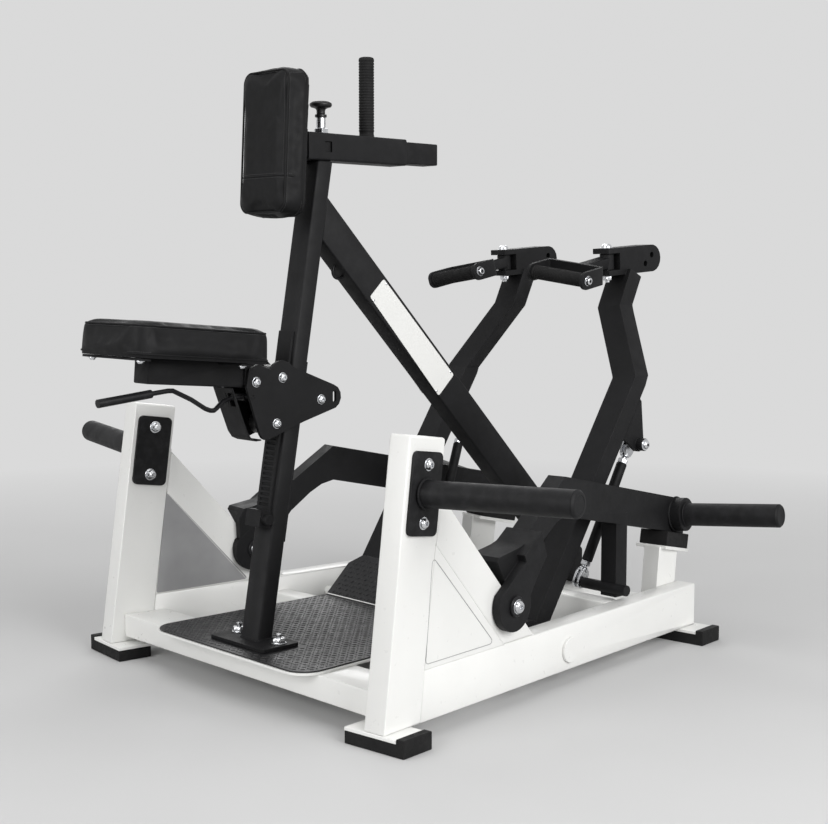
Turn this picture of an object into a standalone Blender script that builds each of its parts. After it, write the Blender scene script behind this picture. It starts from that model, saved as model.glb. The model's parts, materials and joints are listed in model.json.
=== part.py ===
"""Plate-loaded seated row machine with a chest pad, built in metres, +Z up.

The user sits on the -Y side and faces +Y; +X is the user's right hand side.
The machine mirrors across X = 0. Heights are counted from the underside of
the side rails and Y from the front foot of the uprights; at the end the whole
machine is moved so that the origin lies on the floor under the middle of its box.
"""
import math

import bmesh
import bpy
from mathutils import Matrix, Vector

# Fits
GAP = 0.0003                  # clearance between touching pieces
RUN = 0.0006                  # running clearance of a slide
BORE_GAP = 0.00035            # clearance of a bore whose shaft turns in it

# Side frames
RAIL_HALF_FRONT = 0.4885      # outer face of a rail from the middle, at the front
RAIL_TOE = math.radians(5.94)
RAIL_LENGTH = 1.1327
RAIL_WIDTH = 0.0508
RAIL_HEIGHT = 0.1016
UPRIGHT_DEPTH = 0.1016
UPRIGHT_LENGTH = 0.559
UPRIGHT_LEAN = math.radians(7.8)
EDGE_ROUND = 0.004            # rounded corners of the square tubes

# Braces between the rails and the uprights
BRACE_DEPTH = 0.0762
BRACE_REAR = (0.198, 0.398)   # a point on the rear edge, along the rail and up
BRACE_FALL = math.radians(47.65)
GUSSET_THICK = 0.005
GUSSET_INSET = 0.0005

# Cross members
CROSS_HEIGHT = 0.0508
FRONT_CROSS_Y = 0.029
FRONT_CROSS_DEPTH = 0.102
CROSS_BASE = 0.015
FOOT_CROSS_Y = 0.425
FOOT_CROSS_DEPTH = 0.0508
MID_CROSS_Y = 0.803
MID_CROSS_DEPTH = 0.0508
REAR_CROSS_Y = 1.020
REAR_CROSS_DEPTH = 0.102

# Floor tray, tread sheet and slanted foot rest
TRAY_THICK = 0.005
TRAY_FRONT = -0.015
TRAY_REAR = 0.478
TRAY_HALF_FRONT = 0.270
TRAY_HALF_REAR = 0.247
TRAY_CORNER = 0.055
TREAD_THICK = 0.003
TREAD_INSET = 0.004
REST_SLOPE = math.radians(43.0)
REST_LENGTH = 0.130
REST_CHAMFER = 0.030
REST_WEB_X = 0.150
REST_WEB_THICK = 0.008

# Feet
FOOT_THICK = 0.006
FOOT_LENGTH = 0.081
FOOT_IN = 0.098               # reach inwards and outwards from the rail's outer face
FOOT_OUT_FRONT = 0.031
FOOT_OUT_REAR = 0.041
FOOT_FRONT_U = -0.003
FOOT_REAR_U = 1.064
RUBBER_DROP = 0.025
RUBBER_CAP = 0.020
RUBBER_LIP = 0.004

# Weight storage horns on the uprights
HORN_RADIUS = 0.026
HORN_LENGTH = 0.330
HORN_TILT = math.radians(1.9)
HORN_TURN = math.radians(5.0)     # rearwards, more than the rail's toe
HORN_PLATE_LOW = 0.372
HORN_PLATE_HIGH = 0.531
HORN_PLATE_WIDTH = 0.084
HORN_PLATE_THICK = 0.006
HORN_BOLT_SPREAD = 0.055

# Bolts
BOLT_RADIUS = 0.006
BOLT_HEAD_RADIUS = 0.011
BOLT_HEAD = 0.008
NUT_RADIUS = 0.010
NUT_HEIGHT = 0.009

# Handle lever, measured in the planes of constant X
LEVER_INSET = 0.212           # lever's middle inwards of the rail's outer face at the front
LEVER_X = RAIL_HALF_FRONT - LEVER_INSET
LEVER_WIDTH = 0.066
LEVER_DEPTH = 0.045
LEVER_AXLE = (0.595, 0.045)
LEVER_AXLE_RADIUS = 0.0125
LEVER_HUB_RADIUS = 0.043
LEVER_FRONT = ((0.5925, 0.0455), (0.960, 0.606), (1.028, 0.774), (1.0695, 0.860))
LEVER_BEND_LOW = 0.609        # heights between which the lever runs inwards
LEVER_BEND_HIGH = 0.772
AXLE_CAP_RADIUS = 0.0275
AXLE_CAP_THICK = 0.006

# Lever head with the swivel fork
HEAD_SLOPE = math.radians(4.0)
HEAD_WIDTH = 0.050
HEAD_HEIGHT = 0.066
SWIVEL = (0.170, 1.022, 0.876)
LEVER_TOP_X = SWIVEL[0] + 0.004
SWIVEL_HEAD_RADIUS = 0.012
HEAD_LENGTH = 0.147           # from the swivel to the rounded rear end's centre
HEAD_HOLE_RADIUS = 0.007
FORK_GAP = 0.040
FORK_REACH = 0.030
FORK_EAR = 0.010

# Handles
TONGUE_WIDTH = 0.034
TONGUE_HEIGHT = 0.034
TONGUE_CLEAR = 0.001          # between the handle's boss and each ear of the fork
STRAP_BACK = 0.115            # back strap from the swivel
STRAP_THICK = 0.008
STRAP_HEIGHT = 0.042
GRIP_AXIS = 0.177             # grip axis from the swivel
GRIP_LENGTH = 0.150
GRIP_RADIUS = 0.017
GRIP_PIN_RADIUS = 0.006
STIRRUP_ROLL = math.radians(7.7)
STIRRUP_DROP = math.radians(11.0)

# Load arm, in a frame at its pivot: along the arm, up, outwards
ARM_PIVOT = (0.376, 0.182)    # along the rail and up
ARM_TOE = math.radians(10.0)
ARM_WIDTH = 0.044
ARM_BEND = (0.235, 0.416)
ARM_BEND_V = -0.0205          # bar centre at the bend, outwards from the brace centre
ARM_FALL = math.radians(12.0)
ARM_DEPTH = 0.084
ARM_RISE = math.radians(34.0)
ARM_BAR_LENGTH = 0.571
ARM_RANGE = math.radians(11.5)
LUG_RADIUS = 0.053
LUG_THICK = 0.019
LUG_CLEAR = 0.0015
BRACE_CLEAR = 0.0015          # between the arm's slot and the brace
ARM_FRONT = -0.200            # front end of the arm's flank, along the bar from its bend
ARM_UNDER = ((-0.034, -0.094), (-0.068, -0.113), (-0.118, -0.151), (-0.153, -0.173),
             (-0.158, -0.182), (-0.192, -0.149))
LUG_TOP = ((0.078, 0.052), (0.108, 0.087), (0.090, 0.140), (0.030, 0.099), (0.036, 0.085))
LUG_SHOULDER = ((0.0, 0.010), (0.070, 0.050), (0.095, 0.128), (0.036, 0.111), (-0.030, 0.101),
                (-0.044, 0.078), (-0.040, 0.010))
PIVOT_BOLT_RADIUS = 0.010
LOAD_HORN_LENGTH = 0.241
LOAD_HORN_RADIUS = 0.0275
LOAD_HORN_TILT = math.radians(4.9)
LOAD_COLLAR_RADIUS = 0.0405
LOAD_COLLAR_THICK = 0.029
LOAD_HORN_BACK = 0.042        # horn axis from the bar's rear end

# Drop bar and link between the arm and the lever
DROP_Y = 0.858
DROP_WIDTH = 0.044
DROP_DEPTH = 0.040
DROP_BOTTOM = 0.1085
DROP_TOP = 0.300              # inside the load bar
DROP_TUBE_REACH = 0.052       # outwards from the drop bar's middle
LINK_LOW = (LEVER_X - 0.0315, 0.842, 0.128)
LINK_HIGH = (LEVER_X + 0.002, 0.980, 0.447)
LINK_ROD_RADIUS = 0.0125
LINK_EYE_RADIUS = 0.0145
LINK_EYE_WIDTH = 0.020
LINK_PIN_RADIUS = 0.006
LINK_SLACK = 0.004            # the upper eye's hole, where the closed linkage is opened
LINK_TUBE_RADIUS = 0.0125
LINK_FORK_LENGTH = 0.052
LINK_NECK_RADIUS = 0.008
LINK_COLLAR = 0.016
LINK_COLLAR_RADIUS = 0.0115
LEVER_TAB_THICK = 0.010
LEVER_TAB_RADIUS = 0.018
LEVER_TAB_LOW = ((-0.062, 0.020), (-0.012, -0.016))    # from the link's pin, in Y and Z
LEVER_TAB_HIGH = ((0.007, 0.102), (-0.010, 0.118))
LEVER_BOSS_RADIUS = 0.015
LEVER_BOSS_REACH = 0.016

# Stop posts under the load arms
STOP_BACK = 0.135             # post's front edge from the load bar's end, along the rail
STOP_FRONT = ARM_PIVOT[0] + ARM_BEND[0] + ARM_BAR_LENGTH - STOP_BACK
STOP_DEPTH = 0.083
STOP_WIDTH = 0.041
STOP_LEAN = math.radians(6.6)
STOP_PLATE_THICK = 0.008
STOP_PLATE_START = ARM_BAR_LENGTH - 0.092
STOP_PLATE_LENGTH = 0.125
STOP_PLATE_WIDTH = 0.080
BUMPER_START = ARM_BAR_LENGTH - 0.083
BUMPER_LENGTH = 0.115
BUMPER_WIDTH = 0.074
BUMPER_THICK = 0.0355

# Column and spine
COLUMN_FOOT_Y = 0.045
COLUMN_LEAN = math.radians(9.87)
COLUMN_WIDTH = 0.060
COLUMN_DEPTH = 0.041
COLUMN_ROUND = 0.006
BASE_HALF_WIDTH = 0.092
BASE_FRONT = 0.026
BASE_REAR = 0.122
BASE_THICK = 0.008
BASE_BOLT_X = 0.068
BASE_BOLT_Y = 0.086
BASE_STUD = 0.018
SPINE_WIDTH = 0.0508
SPINE_DEPTH = 0.0762
SPINE_TOP_EDGE = (0.273, 1.002)
SPINE_FALL = math.radians(45.6)

# Top box, pad slide and pull pin
BOX_FRONT = 0.208
BOX_REAR = 0.489
BOX_BOTTOM = 1.0875
BOX_WIDTH = 0.060
BOX_HEIGHT = 0.058
BOX_WALL = 0.0045
SLIDE_REAR = 0.589
WINDOW_Y = 0.2625
WINDOW_LENGTH = 0.019
WINDOW_HEIGHT = 0.022
PIN_Y = 0.266
GRIP_POST_Y = 0.396
GRIP_POST_RADIUS = 0.017
GRIP_POST_TOP = 1.318
PIN_BARREL_RADIUS = 0.014
PIN_BARREL_HEIGHT = 0.034
PIN_RADIUS = 0.005
PIN_KNOB_RADIUS = 0.024
PIN_KNOB_HEIGHT = 0.014
PIN_KNOB_TOP_EDGE = 0.004
PIN_KNOB_LOW_EDGE = 0.003
PIN_NECK_RADIUS = 0.009
PIN_COLLAR_RADIUS = 0.013
PIN_COLLAR_HEIGHT = 0.005
PIN_KNOB_RISE = 0.020

# Chest pad
PAD_CENTRE = (0.1355, 1.118)
PAD_LEAN = math.radians(3.0)
PAD_WIDTH = 0.167
PAD_HEIGHT = 0.309
PAD_THICK = 0.060
PAD_CORNER = 0.030
PAD_CROWN = 0.004
PAD_PLATE_THICK = 0.006
PAD_PLATE_WIDTH = 0.130
PAD_PLATE_HEIGHT = 0.200

# Seat, its tube and the carriage that climbs the column
SEAT_SLOPE = math.radians(4.9)
SEAT_FRONT = -0.273
SEAT_LENGTH = 0.331
SEAT_WIDTH = 0.231
SEAT_THICK = 0.070
SEAT_TOP_FRONT = 0.7645
SEAT_CORNER = 0.033
CUSHION_PULL = 0.002           # how far the sides are drawn in
CUSHION_EDGE = (0.004, 0.0015, 0.006, 0.001, 0.0035)  # foot rise and inset, shoulder, rim and its inset
SEAT_CROWN = 0.003
SEAT_TUBE = 0.0508
SEAT_TUBE_FRONT = -0.186
SEAT_TUBE_REAR = 0.098
SEAT_EARS = (0.030, 0.268)    # brackets across the tube, along the seat
SEAT_EAR_WIDTH = 0.028
SEAT_EAR_REACH = 0.100
SEAT_EAR_THICK = 0.005
SEAT_STRAP_HALF = 0.019
CARRIAGE_PLATE_IN = 0.033
CARRIAGE_PLATE_THICK = 0.008
CARRIAGE_BOLT_RADIUS = 0.006
FRONT_TRACK_THICK = 0.006
FRONT_TRACK_WIDTH = 0.046
FRONT_TRACK_LOW = 0.352
FRONT_TRACK_HIGH = 0.728
NOTCH_PITCH = 0.0108
NOTCH_HEIGHT = 0.0050
NOTCH_DEEP = 0.003
NOTCH_WIDTH = 0.030
NOTCH_LOW = 0.362
NOTCH_COUNT = 25
REAR_TRACK_OFF = 0.006
REAR_TRACK_THICK = 0.006
REAR_TRACK_WIDTH = 0.030
REAR_TRACK_LOW = 0.290
REAR_TRACK_HIGH = 0.670
REAR_TRACK_FOOT = 0.016
STOP_BLOCK_DEPTH = 0.030
STOP_BLOCK_HEIGHT = 0.036
STOP_BLOCK_WIDTH = 0.048
STOP_KNOB = 0.016
UPPER_ROLLER_UP = 0.634       # heights of the three guide rollers
LOWER_ROLLER_UP = 0.539
REAR_ROLLER_UP = 0.582
FRONT_ROLLER_RADIUS = 0.0245
REAR_ROLLER_RADIUS = 0.0265
ROLLER_WIDTH = 0.050
SEAT_BOLT_AT = (0.055, 0.628)
RELEASE_PIVOT = (0.046, 0.597)
RELEASE_X = 0.038
RELEASE_INNER_X = 0.012
RELEASE_WIRE = 0.005
RELEASE_GRIP = 0.0085
RELEASE_ROUTE = ((-0.315, 0.6065), (-0.254, 0.6125), (-0.196, 0.6185), (-0.158, 0.6220),
                 (-0.146, 0.6215), (-0.103, 0.6015), (-0.070, 0.5815), (-0.058, 0.5770))
RELEASE_TURN_IN = ((0.035, -0.047, 0.5760), (0.029, -0.036, 0.5795), (0.018, -0.014, 0.5900),
                   (0.012, 0.010, 0.5960))
RELEASE_HUB_RADIUS = 0.009
RELEASE_HUB_HALF = 0.020
RELEASE_PIN_RADIUS = 0.004
RELEASE_SLOT = (-0.018, 0.010, -0.010, 0.014)  # slot in the guard round the pivot: z, then x
PAWL_HALF = 0.010
PAWL_DROP = 0.011             # tooth of the pawl below its pivot
GUARD_THICK = 0.003
GUARD_PATH = ((0.000, 0.6175), (0.018, 0.5700), (0.036, 0.5240), (0.046, 0.5105), (0.060, 0.5045),
              (0.0740, 0.5050))
CARRIAGE_FRONT = ((0.031, 0.619), (0.064, 0.520))
CARRIAGE_NOSE = (0.082, 0.524)
CARRIAGE_LOW = (0.178, 0.537)
CARRIAGE_REAR_TOP = (0.200, 0.637)
CARRIAGE_BACK = ((0.060, 0.664), (0.038, 0.655))
CARRIAGE_TAIL_RADIUS = 0.027
CARRIAGE_TOP_RADIUS = 0.036
WELD = 0.001                  # how far welded pieces run into each other
CUTTER = 0.1                   # reach of a cutter past what it cuts

WHITE = (0.86, 0.86, 0.84)
BLACK = (0.018, 0.018, 0.020)
RUBBER = (0.012, 0.012, 0.012)
CHROME = (0.72, 0.72, 0.74)
HIDE = (0.014, 0.014, 0.015)

for old in list(bpy.data.objects):
    bpy.data.objects.remove(old, do_unlink=True)

PARTS = bpy.data.collections.new("seated_row_machine")
bpy.context.scene.collection.children.link(PARTS)
ROOT = bpy.data.objects.new("machine_origin", None)
PARTS.objects.link(ROOT)
JOINTS = {}


def material(name, colour, roughness, metallic):
    """A Principled material; the same name gives the same material."""
    found = bpy.data.materials.get(name)
    if found:
        return found
    made = bpy.data.materials.new(name)
    made.use_nodes = True
    shader = made.node_tree.nodes["Principled BSDF"]
    shader.inputs["Base Color"].default_value = (*colour, 1.0)
    shader.inputs["Roughness"].default_value = roughness
    shader.inputs["Metallic"].default_value = metallic
    made.diffuse_color = (*colour, 1.0)
    return made


FINISH = {
    "white": ("white_paint", WHITE, 0.35, 0.0),
    "black": ("black_paint", BLACK, 0.45, 0.0),
    "rubber": ("rubber", RUBBER, 0.8, 0.0),
    "chrome": ("chrome", CHROME, 0.15, 1.0),
    "hide": ("upholstery", HIDE, 0.5, 0.0),
    "tread": ("tread", BLACK, 0.6, 0.0),
}


def frame(origin, x_axis, y_axis):
    """A placement whose local z is x_axis crossed with y_axis."""
    x_axis = Vector(x_axis).normalized()
    y_axis = Vector(y_axis).normalized()
    turned = Matrix((x_axis, y_axis, x_axis.cross(y_axis))).transposed().to_4x4()
    turned.translation = Vector(origin)
    return turned


def shifted(base, x=0.0, y=0.0, z=0.0):
    return base @ Matrix.Translation((x, y, z))


def plan_frame(origin, toe):
    """Local x runs rearwards and inwards by the toe angle, y up, z outwards."""
    return frame(origin, (-math.sin(toe), math.cos(toe), 0.0), (0.0, 0.0, 1.0))


RAIL = plan_frame((RAIL_HALF_FRONT, 0.0, 0.0), RAIL_TOE)
MID = frame((0.0, 0.0, 0.0), (0.0, 1.0, 0.0), (0.0, 0.0, 1.0))
FLAT = Matrix.Identity(4)
POST = RAIL @ Matrix.Rotation(-UPRIGHT_LEAN, 4, "Z")
COLUMN = shifted(MID, x=COLUMN_FOOT_Y) @ Matrix.Rotation(-COLUMN_LEAN, 4, "Z")
ARM = shifted(RAIL, ARM_PIVOT[0], ARM_PIVOT[1], -RAIL_WIDTH / 2)


def arc(centre, radius, start, end, steps=8):
    """Points on an arc, in degrees, both ends included."""
    points = []
    for step in range(steps + 1):
        angle = math.radians(start + (end - start) * step / steps)
        points.append((centre[0] + radius * math.cos(angle), centre[1] + radius * math.sin(angle)))
    return points


def circle(centre, radius, steps=20):
    return arc(centre, radius, 0, 360 - 360 / steps, steps - 1)


def rounded(corners, radius, steps=3):
    """An outline with each corner replaced by an arc of the given radius."""
    radii = radius if isinstance(radius, (list, tuple)) else [radius] * len(corners)
    points = []
    for index, corner in enumerate(corners):
        here = Vector(corner)
        if radii[index] <= 0:
            points.append(tuple(here))
            continue
        before = (Vector(corners[index - 1]) - here).normalized()
        after = (Vector(corners[(index + 1) % len(corners)]) - here).normalized()
        half = math.acos(max(-1.0, min(1.0, before.dot(after)))) / 2
        centre = here + (before + after).normalized() * (radii[index] / math.sin(half))
        first = here + before * (radii[index] / math.tan(half)) - centre
        last = here + after * (radii[index] / math.tan(half)) - centre
        turn = math.atan2(first.x * last.y - first.y * last.x, first.dot(last))
        for step in range(steps + 1):
            angle = turn * step / steps
            x = first.x * math.cos(angle) - first.y * math.sin(angle)
            y = first.x * math.sin(angle) + first.y * math.cos(angle)
            points.append((centre.x + x, centre.y + y))
    return points


def box_outline(x_low, x_high, y_low, y_high):
    return [(x_low, y_low), (x_high, y_low), (x_high, y_high), (x_low, y_high)]


def line_meet(p, p_way, q, q_way):
    """Where two lines in a plane cross."""
    cross = p_way[0] * q_way[1] - p_way[1] * q_way[0]
    along = ((q[0] - p[0]) * q_way[1] - (q[1] - p[1]) * q_way[0]) / cross
    return (p[0] + p_way[0] * along, p[1] + p_way[1] * along)


def bake(obj):
    """Replace an object's mesh or curve by its evaluated mesh."""
    graph = bpy.context.evaluated_depsgraph_get()
    mesh = bpy.data.meshes.new_from_object(obj.evaluated_get(graph))
    made = bpy.data.objects.new(obj.name, mesh)
    made.matrix_world = obj.matrix_world.copy()
    PARTS.objects.link(made)
    bpy.data.objects.remove(obj, do_unlink=True)
    return made


def tidy(obj, join=1e-6):
    """Weld loose caps, turn faces outwards and put the mesh in world axes."""
    work = bmesh.new()
    work.from_mesh(obj.data)
    bmesh.ops.remove_doubles(work, verts=work.verts, dist=join)
    work.transform(obj.matrix_world)
    bmesh.ops.recalc_face_normals(work, faces=work.faces)
    if work.calc_volume(signed=True) < 0:
        bmesh.ops.reverse_faces(work, faces=work.faces)
    work.to_mesh(obj.data)
    work.free()
    obj.matrix_world = Matrix.Identity(4)
    return obj


def slab(outline, low, high, place, holes=(), edge=0.0):
    """A flat outline extruded along the placement's z from low to high."""
    curve = bpy.data.curves.new("outline", "CURVE")
    curve.dimensions = "2D"
    curve.fill_mode = "BOTH"
    curve.extrude = (high - low) / 2
    for loop in (outline, *holes):
        spline = curve.splines.new("POLY")
        spline.points.add(len(loop) - 1)
        for point, where in zip(spline.points, loop):
            point.co = (where[0], where[1], 0.0, 1.0)
        spline.use_cyclic_u = True
    made = bpy.data.objects.new("slab", curve)
    PARTS.objects.link(made)
    made.matrix_world = shifted(place, z=(low + high) / 2)
    made = tidy(bake(made))
    if edge > 0:
        bevel = made.modifiers.new("rounded edges", "BEVEL")
        bevel.width = edge
        bevel.segments = 2
        bevel.limit_method = "ANGLE"
        bevel.angle_limit = math.radians(40)
        made = bake(made)
    return made


def rod(radius, low, high, place, sides=24, far_radius=None):
    """A cylinder or cone along the placement's z from low to high."""
    mesh = bpy.data.meshes.new("rod")
    work = bmesh.new()
    bmesh.ops.create_cone(
        work, cap_ends=True, segments=sides, radius1=radius,
        radius2=radius if far_radius is None else far_radius, depth=high - low,
        matrix=shifted(place, z=(low + high) / 2))
    work.to_mesh(mesh)
    work.free()
    made = bpy.data.objects.new("rod", mesh)
    PARTS.objects.link(made)
    return made


def turned(profile, place, steps=24):
    """A profile of (radius, height), listed from the top down, spun about z."""
    mesh = bpy.data.meshes.new("profile")
    points = [(radius, 0.0, height) for radius, height in profile]
    mesh.from_pydata(points, [(i, i + 1) for i in range(len(points) - 1)], [])
    made = bpy.data.objects.new("turned", mesh)
    PARTS.objects.link(made)
    screw = made.modifiers.new("spin", "SCREW")
    screw.angle = math.tau
    screw.steps = steps
    screw.render_steps = steps
    screw.use_merge_vertices = True
    screw.merge_threshold = 0.00005
    made = bake(made)
    made.matrix_world = place
    return tidy(made, join=0.00002)


def wire(points, radius, resolution=2):
    """A round wire through points."""
    curve = bpy.data.curves.new("wire", "CURVE")
    curve.dimensions = "3D"
    curve.bevel_depth = radius
    curve.bevel_resolution = resolution
    curve.use_fill_caps = True
    spline = curve.splines.new("POLY")
    spline.points.add(len(points) - 1)
    for point, where in zip(spline.points, points):
        point.co = (*where, 1.0)
    made = bpy.data.objects.new("wire", curve)
    PARTS.objects.link(made)
    return tidy(bake(made))


def combined(base, others, operation):
    """Join or cut a mesh by others with exact Booleans; the others are used up."""
    for other in others:
        boolean = base.modifiers.new("combine", "BOOLEAN")
        boolean.operation = operation
        boolean.solver = "EXACT"
        boolean.object = other
    bpy.context.view_layer.update()
    made = bake(base)
    for other in others:
        bpy.data.objects.remove(other, do_unlink=True)
    return made


def joined(base, *others):
    return combined(base, others, "UNION")


def cut(base, *cutters):
    return combined(base, cutters, "DIFFERENCE")


def common(base, other):
    return combined(base, [other], "INTERSECT")


def grouped(objects):
    """Cutters gathered in one mesh."""
    work = bmesh.new()
    for obj in objects:
        work.from_mesh(obj.data)
    mesh = bpy.data.meshes.new("group")
    work.to_mesh(mesh)
    work.free()
    for obj in objects:
        bpy.data.objects.remove(obj, do_unlink=True)
    made = bpy.data.objects.new("group", mesh)
    PARTS.objects.link(made)
    return made


def joint(name, point, carried_by=None):
    """An empty on a joint's axis that its moving pieces hang from."""
    empty = bpy.data.objects.new(name, None)
    empty.empty_display_size = 0.05
    PARTS.objects.link(empty)
    parent_point = JOINTS[carried_by] if carried_by else Vector((0.0, 0.0, 0.0))
    empty.parent = bpy.data.objects[carried_by] if carried_by else ROOT
    empty.location = Vector(point) - parent_point
    JOINTS[name] = Vector(point)
    return name


def finish(obj, name, look, on=None, smooth=True):
    """Name a piece, give it its material and hang it from its joint or the root."""
    obj.name = name
    obj.data.name = name
    obj.data.materials.clear()
    obj.data.materials.append(material(*FINISH[look]))
    if smooth:
        obj.data.shade_smooth()
        obj.data.set_sharp_from_angle(angle=math.radians(35))
    if on:
        obj.data.transform(Matrix.Translation(-JOINTS[on]))
        obj.parent = bpy.data.objects[on]
    else:
        obj.parent = ROOT
    return obj


def pair(obj, name, look, right=None, left=None):
    """A right hand piece and its mirror image on the left."""
    twin = left_twin(obj)
    finish(obj, name + "_right", look, right)
    finish(twin, name + "_left", look, left)


def left_twin(obj):
    """A mirrored copy of a right hand piece as its own object."""
    work = bmesh.new()
    work.from_mesh(obj.data)
    work.transform(Matrix.Scale(-1, 4, (1, 0, 0)))
    bmesh.ops.reverse_faces(work, faces=work.faces)
    mesh = bpy.data.meshes.new("twin")
    work.to_mesh(mesh)
    work.free()
    made = bpy.data.objects.new("twin", mesh)
    PARTS.objects.link(made)
    return made


def left_point(point):
    return (-point[0], point[1], point[2])


def bolt(place, grip, head_radius=BOLT_HEAD_RADIUS, radius=BOLT_RADIUS):
    """A bolt along z: head above 0, shank down through the grip, nut below it."""
    low = -grip - GAP
    profile = [(0.0, BOLT_HEAD), (head_radius * 0.85, BOLT_HEAD), (head_radius, BOLT_HEAD * 0.7),
               (head_radius, GAP), (radius, GAP), (radius, low), (NUT_RADIUS, low),
               (NUT_RADIUS, low - NUT_HEIGHT), (0.0, low - NUT_HEIGHT)]
    return turned(profile, place, steps=12)


def rail_inner_x(y):
    """X of a rail's inner face at a Y."""
    inner = RAIL_HALF_FRONT - RAIL_WIDTH / math.cos(RAIL_TOE)
    return inner - y * math.tan(RAIL_TOE)


def build_side_frames():
    upright_foot = UPRIGHT_DEPTH / math.cos(UPRIGHT_LEAN)
    slope = math.tan(UPRIGHT_LEAN)
    seam = GAP / math.cos(UPRIGHT_LEAN)

    rail = slab([(upright_foot + seam, 0.0), (RAIL_LENGTH, 0.0), (RAIL_LENGTH, RAIL_HEIGHT),
                 (upright_foot + seam + RAIL_HEIGHT * slope, RAIL_HEIGHT)],
                -RAIL_WIDTH, 0.0, RAIL, edge=EDGE_ROUND)
    axle = frame((0.0, *LEVER_AXLE), (0.0, 1.0, 0.0), (0.0, 0.0, 1.0))
    rail = joined(rail, foot_plate(FOOT_REAR_U, FOOT_OUT_REAR), *stop_pieces())
    through_rail = rod(LEVER_AXLE_RADIUS + GAP, RAIL_HALF_FRONT / 2, RAIL_HALF_FRONT * 1.2, axle)
    pair(cut(rail, through_rail), "side_rail", "white")

    middle = UPRIGHT_DEPTH / 2
    post = slab([(0.0, 0.0), (UPRIGHT_DEPTH, UPRIGHT_DEPTH * slope), (UPRIGHT_DEPTH, UPRIGHT_LENGTH),
                 (0.0, UPRIGHT_LENGTH)], -RAIL_WIDTH, 0.0, POST, edge=EDGE_ROUND)
    post = joined(post, foot_plate(FOOT_FRONT_U, FOOT_OUT_FRONT))
    post = cut(post, *[rod(BOLT_RADIUS + GAP, -CUTTER, CUTTER, shifted(POST, middle, row), 16)
                       for row in horn_bolt_rows()])
    pair(post, "upright", "white")

    along = (math.cos(BRACE_FALL), -math.sin(BRACE_FALL))
    inwards = (-math.sin(BRACE_FALL), -math.cos(BRACE_FALL))
    front_edge = (BRACE_REAR[0] + inwards[0] * BRACE_DEPTH, BRACE_REAR[1] + inwards[1] * BRACE_DEPTH)
    post_face = ((upright_foot + 2 * seam, 0.0), (slope, 1.0))
    rail_face = ((0.0, RAIL_HEIGHT + GAP), (1.0, 0.0))
    corners = [line_meet(BRACE_REAR, along, *post_face), line_meet(front_edge, along, *post_face),
               line_meet(front_edge, along, *rail_face), line_meet(BRACE_REAR, along, *rail_face)]
    brace = slab(corners, -RAIL_WIDTH, 0.0, RAIL, edge=EDGE_ROUND)
    welded_edge = (front_edge[0] - inwards[0] * WELD, front_edge[1] - inwards[1] * WELD)
    triangle = [line_meet(welded_edge, along, *post_face), line_meet(*post_face, *rail_face),
                line_meet(welded_edge, along, *rail_face)]
    inset = GUSSET_INSET
    outer = slab(triangle, -inset - GUSSET_THICK, -inset, RAIL)
    inner = slab(triangle, -RAIL_WIDTH + inset, -RAIL_WIDTH + inset + GUSSET_THICK, RAIL)
    brace = joined(brace, outer, inner)
    pair(cut(brace, rod(PIVOT_BOLT_RADIUS + GAP, -CUTTER, CUTTER, ARM)), "brace", "white")
    pair(storage_horn(), "storage_horn", "black")


def horn_bolt_rows():
    """Heights of the horn plate's bolts along the upright."""
    middle = (HORN_PLATE_LOW + HORN_PLATE_HIGH) / 2
    return (middle - HORN_BOLT_SPREAD, middle + HORN_BOLT_SPREAD)


def storage_horn():
    """A horn on its outer plate, bolted through the upright to a plate inside."""
    middle = UPRIGHT_DEPTH / 2
    plate = rounded(box_outline(middle - HORN_PLATE_WIDTH / 2, middle + HORN_PLATE_WIDTH / 2,
                                HORN_PLATE_LOW, HORN_PLATE_HIGH), 0.010)
    face = GAP + HORN_PLATE_THICK
    outer_plate = slab(plate, GAP, face, POST)
    inner_plate = slab(plate, -RAIL_WIDTH - face, -RAIL_WIDTH - GAP, POST)
    pieces = [inner_plate]
    for row in horn_bolt_rows():
        place = shifted(POST, middle, row)
        pieces.append(rod(BOLT_RADIUS, -RAIL_WIDTH - face - NUT_HEIGHT, face + BOLT_HEAD, place, 12))
        pieces.append(rod(BOLT_HEAD_RADIUS, face - WELD, face + BOLT_HEAD, place, 12))
        pieces.append(rod(NUT_RADIUS, -RAIL_WIDTH - face - NUT_HEIGHT, -RAIL_WIDTH - face + WELD, place, 12))
    horn = turned([(0.0, HORN_LENGTH), (HORN_RADIUS - 0.003, HORN_LENGTH),
                   (HORN_RADIUS, HORN_LENGTH - 0.003), (HORN_RADIUS, 0.0), (0.0, 0.0)], horn_place(), 24)
    return joined(outer_plate, horn, *pieces)


def foot_plate(start, reach_out):
    """A foot plate under a rail, welded to it from below; start is along the rail."""
    downwards = RAIL @ Matrix.Rotation(math.radians(90), 4, "X")
    return slab(box_outline(start, start + FOOT_LENGTH, -FOOT_IN, reach_out), -WELD, FOOT_THICK, downwards)


def rest_place():
    """Along the load bar at rest: x down its top face from the bend, y out of that face."""
    return bar_frame() @ Matrix.Rotation(-ARM_FALL, 4, "Z")


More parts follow.
